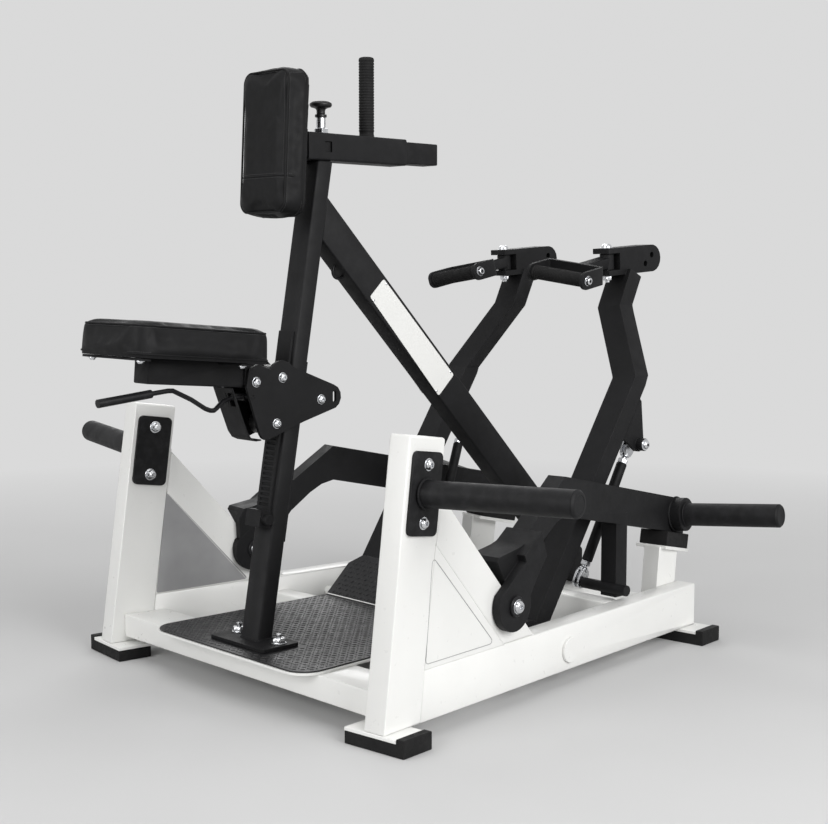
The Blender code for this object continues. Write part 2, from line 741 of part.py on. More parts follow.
def stop_pieces():
    """The post inside the rail and its plate, which the load arm comes to rest on."""
    place = rest_place()
    top = -ARM_DEPTH - GAP - BUMPER_THICK - GAP
    plate = slab(box_outline(STOP_PLATE_START, STOP_PLATE_START + STOP_PLATE_LENGTH,
                             top - STOP_PLATE_THICK, top), -STOP_PLATE_WIDTH / 2, STOP_PLATE_WIDTH / 2, place)
    to_rail = RAIL.inverted() @ place
    start = to_rail @ Vector((0.0, top - STOP_PLATE_THICK / 2, 0.0))
    way = to_rail.to_3x3().col[0]
    edges = (STOP_FRONT, STOP_FRONT + STOP_DEPTH)
    under = [start.y + (along - start.x) / way.x * way.y for along in edges]
    lean = math.tan(STOP_LEAN)
    low = CROSS_HEIGHT + GAP
    drop = (under[0] - low) * lean
    post = slab([(STOP_FRONT - drop, low), (STOP_FRONT + STOP_DEPTH - drop, low),
                 (STOP_FRONT + STOP_DEPTH, under[1]), (STOP_FRONT, under[0])],
                -RAIL_WIDTH - STOP_WIDTH, -RAIL_WIDTH + WELD, RAIL)
    return plate, post


def horn_place():
    """The foot of a storage horn in its plate; z runs outwards along the horn."""
    middle = UPRIGHT_DEPTH / 2
    plate_mid = (HORN_PLATE_LOW + HORN_PLATE_HIGH) / 2
    foot = POST @ Vector((middle, plate_mid, GAP + HORN_PLATE_THICK / 2))
    level = math.cos(HORN_TILT)
    turned_out = Vector((math.sin(HORN_TURN) * level, math.sin(HORN_TILT), math.cos(HORN_TURN) * level))
    outwards = RAIL.to_3x3() @ turned_out
    side = Vector((0, 0, 1)).cross(outwards)
    return frame(foot, side, outwards.cross(side))


def cross_tube(y, depth, low, high, edge=EDGE_ROUND):
    """A tube from rail to rail, its ends mitred to the rails."""
    front = rail_inner_x(y) - GAP / math.cos(RAIL_TOE)
    rear = rail_inner_x(y + depth) - GAP / math.cos(RAIL_TOE)
    return slab([(-front, y), (front, y), (rear, y + depth), (-rear, y + depth)], low, high, FLAT, edge=edge)


def build_cross_members():
    deck = CROSS_BASE + CROSS_HEIGHT
    finish(cross_tube(FRONT_CROSS_Y, FRONT_CROSS_DEPTH, CROSS_BASE, deck), "front_cross_tube", "white")
    finish(cross_tube(MID_CROSS_Y, MID_CROSS_DEPTH, 0.0, RAIL_HEIGHT), "mid_cross_tube", "white")
    rear_low = WELD + GAP
    finish(cross_tube(REAR_CROSS_Y, REAR_CROSS_DEPTH, rear_low, CROSS_HEIGHT), "rear_cross_tube", "white")

    tray_low = deck + GAP
    tray_high = tray_low + TRAY_THICK
    tray_outline = rounded([(-TRAY_HALF_FRONT, TRAY_FRONT), (TRAY_HALF_FRONT, TRAY_FRONT),
                            (TRAY_HALF_REAR, TRAY_REAR), (-TRAY_HALF_REAR, TRAY_REAR)],
                           [TRAY_CORNER, TRAY_CORNER, 0, 0], steps=8)
    finish(slab(tray_outline, tray_low, tray_high, FLAT), "foot_tray", "white")

    inset = TREAD_INSET
    tread_outline = rounded([(-TRAY_HALF_FRONT + inset, TRAY_FRONT + inset),
                             (TRAY_HALF_FRONT - inset, TRAY_FRONT + inset),
                             (TRAY_HALF_REAR - inset, TRAY_REAR),
                             (-TRAY_HALF_REAR + inset, TRAY_REAR)],
                            [TRAY_CORNER - inset, TRAY_CORNER - inset, 0, 0], steps=8)
    tread_low = tray_high + GAP
    sheet = slab(tread_outline, tread_low, tread_low + TREAD_THICK, FLAT)

    half = TRAY_HALF_REAR - inset
    foot_line = (TRAY_REAR - WELD, tread_low + GAP)
    slope_place = frame((0.0, *foot_line), (1.0, 0.0, 0.0), (0.0, math.cos(REST_SLOPE), math.sin(REST_SLOPE)))
    rest = slab([(-half, 0.0), (half, 0.0), (half, REST_LENGTH - REST_CHAMFER),
                 (half - REST_CHAMFER, REST_LENGTH), (-half + REST_CHAMFER, REST_LENGTH),
                 (-half, REST_LENGTH - REST_CHAMFER)], 0.0, TREAD_THICK, slope_place)
    finish(joined(sheet, rest), "tread_plate", "tread")

    web_top = (foot_line[0] + math.cos(REST_SLOPE) * REST_LENGTH * 0.8,
               foot_line[1] + math.sin(REST_SLOPE) * REST_LENGTH * 0.8)
    under = GAP / math.cos(REST_SLOPE)
    rear_low = FOOT_CROSS_Y + FOOT_CROSS_DEPTH
    web = [(rear_low - 0.002, CROSS_BASE + 0.006), (rear_low + 0.024, CROSS_BASE + 0.006),
           (web_top[0], web_top[1] - 0.034), (web_top[0], web_top[1] - under),
           (foot_line[0] + 0.004, foot_line[1] + 0.004 * math.tan(REST_SLOPE) - under),
           (foot_line[0] + 0.004, deck - 0.001), (rear_low - 0.002, deck - 0.001)]
    member = cross_tube(FOOT_CROSS_Y, FOOT_CROSS_DEPTH, CROSS_BASE, deck)
    webs = []
    for side in (-1, 1):
        middle = side * REST_WEB_X
        webs.append(slab(web, middle - REST_WEB_THICK / 2, middle + REST_WEB_THICK / 2, MID))
    finish(joined(member, *webs), "foot_rest_carrier", "white")


def build_feet():
    for name, start, reach in (("front", FOOT_FRONT_U, FOOT_OUT_FRONT), ("rear", FOOT_REAR_U, FOOT_OUT_REAR)):
        top = -FOOT_THICK - GAP
        low = top - RUBBER_DROP
        far = reach + RUBBER_CAP
        profile = [(-FOOT_IN, low), (far, low), (far, RUBBER_LIP), (reach + GAP, RUBBER_LIP),
                   (reach + GAP, top), (-FOOT_IN, top)]
        across = frame(RAIL @ Vector((start, 0, 0)), RAIL.to_3x3() @ Vector((0, 0, 1)), (0, 0, 1))
        pair(slab(profile, -FOOT_LENGTH, 0.0, across), "rubber_foot_" + name, "rubber")


def build_column():
    deck = CROSS_BASE + CROSS_HEIGHT + 2 * GAP + TRAY_THICK + TREAD_THICK + GAP
    base = slab(rounded(box_outline(-BASE_HALF_WIDTH, BASE_HALF_WIDTH, BASE_FRONT, BASE_REAR), 0.006),
                deck, deck + BASE_THICK, FLAT)
    lean = math.tan(COLUMN_LEAN)
    low = (deck + 0.002) / math.cos(COLUMN_LEAN)
    high = (BOX_BOTTOM - GAP) / math.cos(COLUMN_LEAN)
    post = slab([(0.0, low), (COLUMN_DEPTH, low + COLUMN_DEPTH * lean),
                 (COLUMN_DEPTH, high + COLUMN_DEPTH * lean), (0.0, high)],
                -COLUMN_WIDTH / 2, COLUMN_WIDTH / 2, COLUMN, edge=COLUMN_ROUND)
    studs = []
    for side in (-1, 1):
        place = shifted(FLAT, side * BASE_BOLT_X, BASE_BOLT_Y, deck + BASE_THICK)
        studs.append(turned([(0.0, BASE_STUD), (BOLT_RADIUS, BASE_STUD), (BOLT_RADIUS, NUT_HEIGHT),
                             (BOLT_HEAD_RADIUS, NUT_HEIGHT), (BOLT_HEAD_RADIUS, -WELD), (0.0, -WELD)],
                            place, 12))
    finish(joined(post, base, *studs, *rear_track()), "column", "black")

    along = (math.cos(SPINE_FALL), -math.sin(SPINE_FALL))
    inwards = (-math.sin(SPINE_FALL), -math.cos(SPINE_FALL))
    lower = (SPINE_TOP_EDGE[0] + inwards[0] * SPINE_DEPTH, SPINE_TOP_EDGE[1] + inwards[1] * SPINE_DEPTH)
    rear_face_y = COLUMN_FOOT_Y + COLUMN_DEPTH / math.cos(COLUMN_LEAN) + GAP / math.cos(COLUMN_LEAN)
    column_face = ((rear_face_y, 0.0), (lean, 1.0))
    seat_line = ((0.0, CROSS_HEIGHT + GAP), (1.0, 0.0))
    end_line = ((REAR_CROSS_Y + REAR_CROSS_DEPTH - 0.004, 0.0), (0.0, 1.0))
    outline = [line_meet(SPINE_TOP_EDGE, along, *column_face), line_meet(lower, along, *column_face),
               line_meet(lower, along, *seat_line), line_meet(*seat_line, *end_line),
               line_meet(SPINE_TOP_EDGE, along, *end_line)]
    finish(slab(outline, -SPINE_WIDTH / 2, SPINE_WIDTH / 2, MID, edge=EDGE_ROUND), "spine", "black")


def column_point(depth, up):
    """A point of the column's own frame, at a height, in Y and Z."""
    return (COLUMN_FOOT_Y + up * math.tan(COLUMN_LEAN) + depth / math.cos(COLUMN_LEAN), up)


def along_column(up):
    return up / math.cos(COLUMN_LEAN)


def rear_track():
    """The strip that the rear roller runs on, on two feet behind the column."""
    low = along_column(REAR_TRACK_LOW)
    high = along_column(REAR_TRACK_HIGH)
    face = COLUMN_DEPTH + REAR_TRACK_OFF
    half = REAR_TRACK_WIDTH / 2
    strip = slab(box_outline(face, face + REAR_TRACK_THICK, low, high), -half, half, COLUMN)
    feet = []
    for start in (low, high - REAR_TRACK_FOOT - WELD):
        feet.append(slab(box_outline(COLUMN_DEPTH - WELD, face + WELD, start + WELD, start + REAR_TRACK_FOOT),
                         WELD - half, half - WELD, COLUMN))
    return strip, *feet


def build_rack():
    """The notched strip on the column's front, with the carriage's stop below it."""
    low = along_column(FRONT_TRACK_LOW)
    high = along_column(FRONT_TRACK_HIGH)
    track = slab(box_outline(-FRONT_TRACK_THICK - GAP, -GAP, low, high),
                 -FRONT_TRACK_WIDTH / 2, FRONT_TRACK_WIDTH / 2, COLUMN)
    notches = []
    for index in range(NOTCH_COUNT):
        foot = along_column(NOTCH_LOW) + index * NOTCH_PITCH
        notches.append(slab(box_outline(-FRONT_TRACK_THICK - 0.01, -FRONT_TRACK_THICK - GAP + NOTCH_DEEP,
                                        foot, foot + NOTCH_HEIGHT),
                            -NOTCH_WIDTH / 2, NOTCH_WIDTH / 2, COLUMN))
    track = cut(track, grouped(notches))
    stop_high = low + WELD
    stop = slab(box_outline(-STOP_BLOCK_DEPTH, -GAP, stop_high - STOP_BLOCK_HEIGHT, stop_high),
                -STOP_BLOCK_WIDTH / 2, STOP_BLOCK_WIDTH / 2, COLUMN)
    knob = rod(BOLT_HEAD_RADIUS, STOP_BLOCK_WIDTH / 2 - WELD, STOP_BLOCK_WIDTH / 2 + STOP_KNOB,
               shifted(COLUMN, -STOP_BLOCK_DEPTH / 2, stop_high - STOP_BLOCK_HEIGHT / 2), 16)
    finish(joined(track, stop, knob), "height_rack", "black")


def roller_axis(up, front):
    """Y and Z of a guide roller's axis at a height."""
    if front:
        depth = -FRONT_TRACK_THICK - 2 * GAP - FRONT_ROLLER_RADIUS
    else:
        depth = COLUMN_DEPTH + REAR_TRACK_OFF + REAR_TRACK_THICK + GAP + REAR_ROLLER_RADIUS
    return column_point(depth, up)


def build_carriage():
    slide = joint("carriage_slide", (0.0, *column_point(0.0, LOWER_ROLLER_UP)))
    axes = {"upper_roller": (roller_axis(UPPER_ROLLER_UP, True), FRONT_ROLLER_RADIUS),
            "lower_roller": (roller_axis(LOWER_ROLLER_UP, True), FRONT_ROLLER_RADIUS),
            "rear_roller": (roller_axis(REAR_ROLLER_UP, False), REAR_ROLLER_RADIUS)}
    centres = [axis for axis, radius in axes.values()]
    tail = (centres[2][0] + 0.030, centres[2][1] + 0.004)
    top = centres[0]
    outline = list(CARRIAGE_FRONT) + arc(CARRIAGE_NOSE, 0.018, 200, 285, 3)
    outline += [CARRIAGE_LOW] + arc(tail, CARRIAGE_TAIL_RADIUS, -65, 75, 5)
    outline += [CARRIAGE_REAR_TOP] + arc(top, CARRIAGE_TOP_RADIUS, 35, 150, 5) + list(CARRIAGE_BACK)
    slot = rounded(box_outline(tail[0] + 0.004, tail[0] + 0.013, tail[1] - 0.012, tail[1] + 0.012), 0.004)
    holes = [circle(centre, CARRIAGE_BOLT_RADIUS + GAP, 12) for centre in (*centres, SEAT_BOLT_AT)]
    holes.append(circle(RELEASE_PIVOT, RELEASE_PIN_RADIUS + GAP, 12))
    inside = CARRIAGE_PLATE_IN
    face = inside + CARRIAGE_PLATE_THICK
    pair(slab(outline, inside, face, MID, [slot, *holes]), "carriage_plate", "black", slide, slide)
    for name, centre in zip((*axes, "seat"), (*centres, SEAT_BOLT_AT)):
        fastener = bolt(shifted(MID, *centre, face), 2 * face, radius=CARRIAGE_BOLT_RADIUS)
        finish(fastener, name + "_bolt", "chrome", slide)

    for name, (centre, radius) in axes.items():
        spin = joint(name + "_spin", (0.0, *centre), slide)
        half = ROLLER_WIDTH / 2
        bore = CARRIAGE_BOLT_RADIUS + BORE_GAP
        ring = turned([(bore, half), (radius - 0.002, half), (radius, half - 0.002),
                       (radius, -half + 0.002), (radius - 0.002, -half), (bore, -half), (bore, half)],
                      shifted(MID, *centre), 20)
        finish(ring, name, "black", spin)

    seat_frame = seat_place()
    low = -SEAT_TUBE - GAP - SEAT_THICK
    reach = SEAT_TUBE_REAR - SEAT_FRONT
    tube = slab(box_outline(SEAT_TUBE_FRONT - SEAT_FRONT, reach, low, low + SEAT_TUBE),
                -SEAT_TUBE / 2, SEAT_TUBE / 2, seat_frame, edge=EDGE_ROUND)
    cheeks = []
    for side in (-1, 1):
        low_x = SEAT_TUBE / 2 - 0.002 if side > 0 else -inside + GAP
        high_x = inside - GAP if side > 0 else -SEAT_TUBE / 2 + 0.002
        cheeks.append(slab(box_outline(reach - 0.055, reach - 0.012, low + 0.006, low + SEAT_TUBE - 0.006),
                           low_x, high_x, seat_frame))
    ears = []
    for middle in SEAT_EARS:
        ears.append(slab(box_outline(middle - SEAT_EAR_WIDTH / 2, middle + SEAT_EAR_WIDTH / 2,
                                     low + SEAT_TUBE - SEAT_EAR_THICK, low + SEAT_TUBE - GAP / 3),
                         -SEAT_EAR_REACH, SEAT_EAR_REACH, seat_frame))
    strap = slab(box_outline(SEAT_EARS[0], SEAT_TUBE_FRONT - SEAT_FRONT + SEAT_EAR_WIDTH,
                             low + SEAT_TUBE - SEAT_EAR_THICK + WELD, low + SEAT_TUBE - WELD),
                 -SEAT_STRAP_HALF, SEAT_STRAP_HALF, seat_frame)
    tube = joined(tube, *cheeks, *ears, strap)
    tube = cut(tube, rod(CARRIAGE_BOLT_RADIUS + GAP, -CUTTER, CUTTER, shifted(MID, *SEAT_BOLT_AT), 12))
    finish(tube, "seat_tube", "black", slide)
    finish(seat_pad(seat_frame), "seat_pad", "hide", slide)
    build_guard(slide)
    build_release(slide)


def seat_place():
    """Local x rearwards along the seat, y up out of its top face, z along X."""
    return frame((0.0, SEAT_FRONT, SEAT_TOP_FRONT), (0.0, math.cos(SEAT_SLOPE), -math.sin(SEAT_SLOPE)),
                 (0.0, math.sin(SEAT_SLOPE), math.cos(SEAT_SLOPE)))


def cushion(place, length, width, thick, corner, crown, pull):
    """A padded block: crowned top, sides drawn in at the seams, flat underside.

    Local x runs along the length from 0, y is the thickness with the top face at 0.
    """
    foot_rise, foot_inset, shoulder, rim, rim_inset = CUSHION_EDGE
    rings = [(-thick, -foot_inset), (-thick + foot_rise, 0.0), (-thick / 2, -pull), (-shoulder, 0.0),
             (-rim, -rim_inset)]
    mesh = bpy.data.meshes.new("cushion")
    work = bmesh.new()
    loops = []
    for height, grow in rings:
        outline = rounded(box_outline(-grow, length + grow, -width / 2 - grow, width / 2 + grow),
                          corner + grow, steps=4)
        loops.append([work.verts.new((x, height - crown, z)) for x, z in outline])
    for lower, upper in zip(loops, loops[1:]):
        count = len(lower)
        for index in range(count):
            after = (index + 1) % count
            work.faces.new((lower[index], lower[after], upper[after], upper[index]))
    shrink_steps = (0.75, 0.4)
    edge_loop = loops[-1]
    previous = edge_loop
    for step in shrink_steps:
        ring = []
        for vert in edge_loop:
            x = length / 2 + (vert.co.x - length / 2) * step
            z = vert.co.z * step
            ring.append(work.verts.new((x, -crown * step ** 2, z)))
        for index in range(len(ring)):
            after = (index + 1) % len(ring)
            work.faces.new((previous[index], previous[after], ring[after], ring[index]))
        previous = ring
    work.faces.new(previous)
    work.faces.new(list(reversed(loops[0])))
    work.to_mesh(mesh)
    work.free()
    made = bpy.data.objects.new("cushion", mesh)
    PARTS.objects.link(made)
    made.matrix_world = place
    return tidy(made)


def seat_pad(place):
    return cushion(place, SEAT_LENGTH, SEAT_WIDTH, SEAT_THICK - SEAT_CROWN, SEAT_CORNER,
                   SEAT_CROWN, CUSHION_PULL)


def build_guard(slide):
    """The bent strap that closes the carriage below the seat tube."""
    outer = []
    inner = []
    for index, point in enumerate(GUARD_PATH):
        before = Vector(GUARD_PATH[max(index - 1, 0)])
        after = Vector(GUARD_PATH[min(index + 1, len(GUARD_PATH) - 1)])
        way = (after - before).normalized()
        side = Vector((-way.y, way.x)) * GUARD_THICK
        outer.append(point)
        inner.append((point[0] + side.x, point[1] + side.y))
    half = CARRIAGE_PLATE_IN - GAP
    strap = slab(outer + inner[::-1], -half, half, MID)
    slot_low, slot_high, slot_left, slot_right = RELEASE_SLOT
    slot = slab(box_outline(-CUTTER, CUTTER, RELEASE_PIVOT[1] + slot_low, RELEASE_PIVOT[1] + slot_high),
                RELEASE_INNER_X + slot_left, RELEASE_INNER_X + slot_right, MID)
    finish(cut(strap, slot), "carriage_guard", "black", slide)


def build_release(slide):
    pivot = joint("release_turn", (0.0, *RELEASE_PIVOT), slide)
    route = [(RELEASE_X, *point) for point in RELEASE_ROUTE]
    route += [*RELEASE_TURN_IN, (RELEASE_INNER_X, *RELEASE_PIVOT)]
    lever = wire(route, RELEASE_WIRE)
    sleeve = wire(route[:3], RELEASE_GRIP, 3)
    hub = rod(RELEASE_HUB_RADIUS, -RELEASE_HUB_HALF, RELEASE_HUB_HALF, shifted(MID, *RELEASE_PIVOT), 16)
    pin = rod(RELEASE_PIN_RADIUS, -CARRIAGE_PLATE_IN - CARRIAGE_PLATE_THICK,
              CARRIAGE_PLATE_IN + CARRIAGE_PLATE_THICK, shifted(MID, *RELEASE_PIVOT), 12)
    tooth = column_point(-FRONT_TRACK_THICK - GAP, RELEASE_PIVOT[1] - PAWL_DROP)
    pawl = slab([(RELEASE_PIVOT[0], RELEASE_PIVOT[1] - 0.006), (tooth[0] - 0.004, tooth[1] - 0.005),
                 (tooth[0] - 0.0015, tooth[1] + 0.002), (tooth[0] - 0.010, tooth[1] + 0.007),
                 (RELEASE_PIVOT[0], RELEASE_PIVOT[1] + 0.006)], -PAWL_HALF, PAWL_HALF, MID)
    finish(joined(lever, sleeve, hub, pin, pawl), "release_lever", "black", pivot)


def build_top():
    box_high = BOX_BOTTOM + BOX_HEIGHT
    middle = (BOX_BOTTOM + box_high) / 2
    across = frame((0.0, 0.0, middle), (0.0, 0.0, 1.0), (1.0, 0.0, 0.0))
    half_x = BOX_WIDTH / 2
    half_z = BOX_HEIGHT / 2
    hole = box_outline(-half_z + BOX_WALL, half_z - BOX_WALL, -half_x + BOX_WALL, half_x - BOX_WALL)
    box = slab(rounded(box_outline(-half_z, half_z, -half_x, half_x), 0.005),
               BOX_FRONT, BOX_REAR, across, [hole])
    box = cut(box, slab(box_outline(WINDOW_Y - WINDOW_LENGTH / 2, WINDOW_Y + WINDOW_LENGTH / 2,
                                    middle - WINDOW_HEIGHT / 2, middle + WINDOW_HEIGHT / 2),
                       -CUTTER, CUTTER, MID),
              rod(PIN_RADIUS + RUN, middle, box_high + 0.05, shifted(FLAT, y=PIN_Y), 16))
    finish(box, "top_box", "black")

    post = turned([(0.0, GRIP_POST_TOP), (GRIP_POST_RADIUS - 0.003, GRIP_POST_TOP),
                   (GRIP_POST_RADIUS, GRIP_POST_TOP - 0.003), (GRIP_POST_RADIUS, box_high + GAP),
                   (0.0, box_high + GAP)], shifted(FLAT, y=GRIP_POST_Y), 28)
    finish(post, "grip_post", "black")

    foot = box_high + GAP
    bore = PIN_RADIUS + RUN
    barrel = turned([(bore, foot + PIN_BARREL_HEIGHT), (PIN_BARREL_RADIUS - 0.002, foot + PIN_BARREL_HEIGHT),
                     (PIN_BARREL_RADIUS, foot + PIN_BARREL_HEIGHT - 0.002), (PIN_BARREL_RADIUS, foot),
                     (bore, foot), (bore, foot + PIN_BARREL_HEIGHT)], shifted(FLAT, y=PIN_Y), 24)
    finish(barrel, "pin_barrel", "chrome")

    slide_half_x = half_x - BOX_WALL - RUN
    slide_half_z = half_z - BOX_WALL - RUN
    pull = joint("pull_pin_slide", (0.0, PIN_Y, foot + PIN_BARREL_HEIGHT))
    knob_low = foot + PIN_BARREL_HEIGHT + PIN_KNOB_RISE
    knob_high = knob_low + PIN_KNOB_HEIGHT
    collar = foot + PIN_BARREL_HEIGHT + GAP
    knob = [(0.0, knob_high), (PIN_KNOB_RADIUS - PIN_KNOB_TOP_EDGE, knob_high),
            (PIN_KNOB_RADIUS, knob_high - PIN_KNOB_TOP_EDGE), (PIN_KNOB_RADIUS, knob_low + PIN_KNOB_LOW_EDGE),
            (PIN_KNOB_RADIUS - PIN_KNOB_LOW_EDGE, knob_low), (PIN_NECK_RADIUS, knob_low)]
    collar_top = collar + PIN_COLLAR_HEIGHT
    stem = [(PIN_NECK_RADIUS, collar_top + GAP), (PIN_COLLAR_RADIUS, collar_top),
            (PIN_COLLAR_RADIUS, collar), (PIN_RADIUS, collar),
            (PIN_RADIUS, middle + slide_half_z + GAP), (0.0, middle + slide_half_z + GAP)]
    pin = turned(knob + stem, shifted(FLAT, y=PIN_Y), 24)
    finish(pin, "pull_pin", "black", pull)

    travel = joint("pad_slide", (0.0, BOX_FRONT, middle))
    lean = math.sin(PAD_LEAN)
    pad_rear = PAD_CENTRE[0] + PAD_THICK / 2 / math.cos(PAD_LEAN)
    plate_rear = pad_rear + GAP + PAD_PLATE_THICK + 0.0005
    tube_front = plate_rear + slide_half_z * lean + GAP
    tube = slab(rounded(box_outline(-slide_half_z, slide_half_z, -slide_half_x, slide_half_x), 0.003),
                tube_front, SLIDE_REAR, across,
                [box_outline(-slide_half_z + 0.003, slide_half_z - 0.003, -slide_half_x + 0.003,
                             slide_half_x - 0.003)])
    finish(tube, "pad_slide_tube", "black", travel)

    pad_frame = frame((0.0, *PAD_CENTRE), (0.0, math.sin(PAD_LEAN), math.cos(PAD_LEAN)),
                      (0.0, -math.cos(PAD_LEAN), math.sin(PAD_LEAN)))
    plate = slab(rounded(box_outline(-PAD_PLATE_HEIGHT / 2, PAD_PLATE_HEIGHT / 2, -PAD_PLATE_WIDTH / 2,
                                     PAD_PLATE_WIDTH / 2), 0.012),
                 PAD_THICK / 2 + GAP, PAD_THICK / 2 + GAP + PAD_PLATE_THICK,
                 pad_frame @ Matrix.Rotation(math.radians(90), 4, "X"))
    finish(plate, "pad_plate", "black", travel)
    pad = cushion(shifted(pad_frame, -PAD_HEIGHT / 2, PAD_THICK / 2), PAD_HEIGHT, PAD_WIDTH,
                  PAD_THICK - PAD_CROWN, PAD_CORNER, PAD_CROWN, CUSHION_PULL)
    finish(pad, "chest_pad", "hide", travel)


def lever_solid():
    """The bent handle lever on the right, with its hub, head and link tab."""
    front = list(LEVER_FRONT)
    rear = []
    for index, point in enumerate(front):
        before = Vector(front[max(index - 1, 0)])
        after = Vector(front[min(index + 1, len(front) - 1)])
        if 0 < index < len(front) - 1:
            first = (Vector(point) - before).normalized()
            second = (after - Vector(point)).normalized()
            first_side = Vector((first.y, -first.x))
            second_side = Vector((second.y, -second.x))
            way = (first_side + second_side).normalized()
            rear.append(Vector(point) + way * (LEVER_DEPTH / way.dot(first_side)))
        else:
            way = (after - before).normalized()
            rear.append(Vector(point) + Vector((way.y, -way.x)) * LEVER_DEPTH)
    side = [tuple(point) for point in front] + [tuple(point) for point in reversed(rear)]
    profile = slab(side, LEVER_TOP_X - LEVER_WIDTH, LEVER_X + LEVER_WIDTH, MID)
    half = LEVER_WIDTH / 2
    shape = [(LEVER_X - half, 0.0), (LEVER_X + half, 0.0), (LEVER_X + half, LEVER_BEND_LOW),
             (LEVER_TOP_X + half, LEVER_BEND_HIGH), (LEVER_TOP_X + half, 1.0),
             (LEVER_TOP_X - half, 1.0), (LEVER_TOP_X - half, LEVER_BEND_HIGH - 0.008),
             (LEVER_X - half, LEVER_BEND_LOW - 0.008)]
    faced = slab(shape, -1.4, -0.4, frame((0, 0, 0), (1, 0, 0), (0, 0, 1)))
    body = common(profile, faced)
    hub = rod(LEVER_HUB_RADIUS, LEVER_X - half - 0.004, LEVER_X + half + 0.004, shifted(MID, *LEVER_AXLE), 24)
    head = head_solid()
    tab = tab_solid()
    body = joined(body, hub, head, *tab)
    bore = rod(LEVER_AXLE_RADIUS + BORE_GAP, LEVER_X - LEVER_WIDTH, LEVER_X + LEVER_WIDTH,
               shifted(MID, *LEVER_AXLE), 24)
    return cut(body, bore)


def head_place():
    """At the swivel: x rearwards along the head, y up along the bolt, z along X."""
    return frame(SWIVEL, (0.0, math.cos(HEAD_SLOPE), math.sin(HEAD_SLOPE)),
                 (0.0, -math.sin(HEAD_SLOPE), math.cos(HEAD_SLOPE)))


def head_solid():
    place = head_place()
    half = HEAD_HEIGHT / 2
    width = HEAD_WIDTH / 2
    outline = [(-FORK_REACH + 0.008, -half), (HEAD_LENGTH, -half)]
    outline += arc((HEAD_LENGTH, 0.0), half, -80, 80, 8)
    outline += [(HEAD_LENGTH, half), (-FORK_REACH + 0.008, half)]
    holes = [circle((HEAD_LENGTH - 0.002, 0.008), HEAD_HOLE_RADIUS, 16),
             circle((HEAD_LENGTH - 0.028, -0.012), HEAD_HOLE_RADIUS, 16)]
    head = slab(outline, -width, width, place, holes)
    slot = slab(box_outline(-CUTTER, TONGUE_WIDTH / 2 + 0.003, -FORK_GAP / 2, FORK_GAP / 2),
                -CUTTER, CUTTER, place)
    upright = place @ Matrix.Rotation(math.radians(-90), 4, "X")
    return cut(head, slot, rod(BOLT_RADIUS + GAP, -CUTTER, CUTTER, upright, 16))


def tab_solid():
    """The tab behind the lever that takes the link's upper pin."""
    pin_y, pin_z = LINK_HIGH[1], LINK_HIGH[2]
    outer = LEVER_X + LEVER_WIDTH / 2
    outline = [(pin_y + y, pin_z + z) for y, z in LEVER_TAB_LOW]
    outline += arc((pin_y, pin_z), LEVER_TAB_RADIUS, -110, 20, 5)
    outline += [(pin_y + y, pin_z + z) for y, z in LEVER_TAB_HIGH]
    tab = slab(outline, outer - LEVER_TAB_THICK, outer - WELD, MID)
    boss = rod(LEVER_BOSS_RADIUS, outer - LEVER_TAB_THICK + WELD, outer + LEVER_BOSS_REACH,
               shifted(MID, pin_y, pin_z), 20)
    pin = rod(LINK_PIN_RADIUS, LINK_HIGH[0] - LINK_EYE_WIDTH / 2 - 0.004, outer + LEVER_BOSS_REACH + 0.006,
              shifted(MID, pin_y, pin_z), 16)
    return tab, boss, pin


def build_levers():
    right_hinge = (LEVER_X, *LEVER_AXLE)
    right = joint("lever_turn_right", right_hinge)
    left = joint("lever_turn_left", left_point(right_hinge))
    pair(lever_solid(), "lever", "black", right, left)

    outer = RAIL_HALF_FRONT - LEVER_AXLE[0] * math.tan(RAIL_TOE)
    axle = rod(LEVER_AXLE_RADIUS, -outer, outer, shifted(MID, *LEVER_AXLE), 24)
    caps = []
    for side in (RAIL, Matrix.Scale(-1, 4, (1, 0, 0)) @ RAIL):
        centre = side @ Vector((LEVER_AXLE[0] / math.cos(RAIL_TOE), LEVER_AXLE[1], 0.0))
        normal = side.to_3x3() @ Vector((0, 0, 1))
        place = frame(centre, normal.cross(Vector((0, 0, 1))), (0, 0, 1))
        caps.append(rod(AXLE_CAP_RADIUS, -AXLE_CAP_THICK - GAP, -GAP, place, 24))
    finish(joined(axle, *caps), "lever_axle", "white")

    bolt_place = head_place() @ Matrix.Rotation(math.radians(-90), 4, "X")
    half = HEAD_HEIGHT / 2
    swivel_bolt = bolt(shifted(bolt_place, z=half), HEAD_HEIGHT, head_radius=SWIVEL_HEAD_RADIUS)
    pair(swivel_bolt, "swivel_bolt", "chrome", right, left)

    stirrup, grip, grip_centre = handle_solids()
    swivel_right = joint("handle_swivel_right", SWIVEL, right)
    swivel_left = joint("handle_swivel_left", left_point(SWIVEL), left)
    spin_right = joint("grip_spin_right", grip_centre, swivel_right)
    spin_left = joint("grip_spin_left", left_point(grip_centre), swivel_left)
    pair(stirrup, "stirrup", "black", swivel_right, swivel_left)
    pair(grip, "grip", "rubber", spin_right, spin_left)


def stirrup_place():
    """At the swivel: x forwards along the handle, y up, z towards -X, rolled outwards."""
    pitch = STIRRUP_DROP
    base = frame(SWIVEL, (0.0, -math.cos(pitch), -math.sin(pitch)), (0.0, -math.sin(pitch), math.cos(pitch)))
    return base @ Matrix.Rotation(-STIRRUP_ROLL, 4, "X")


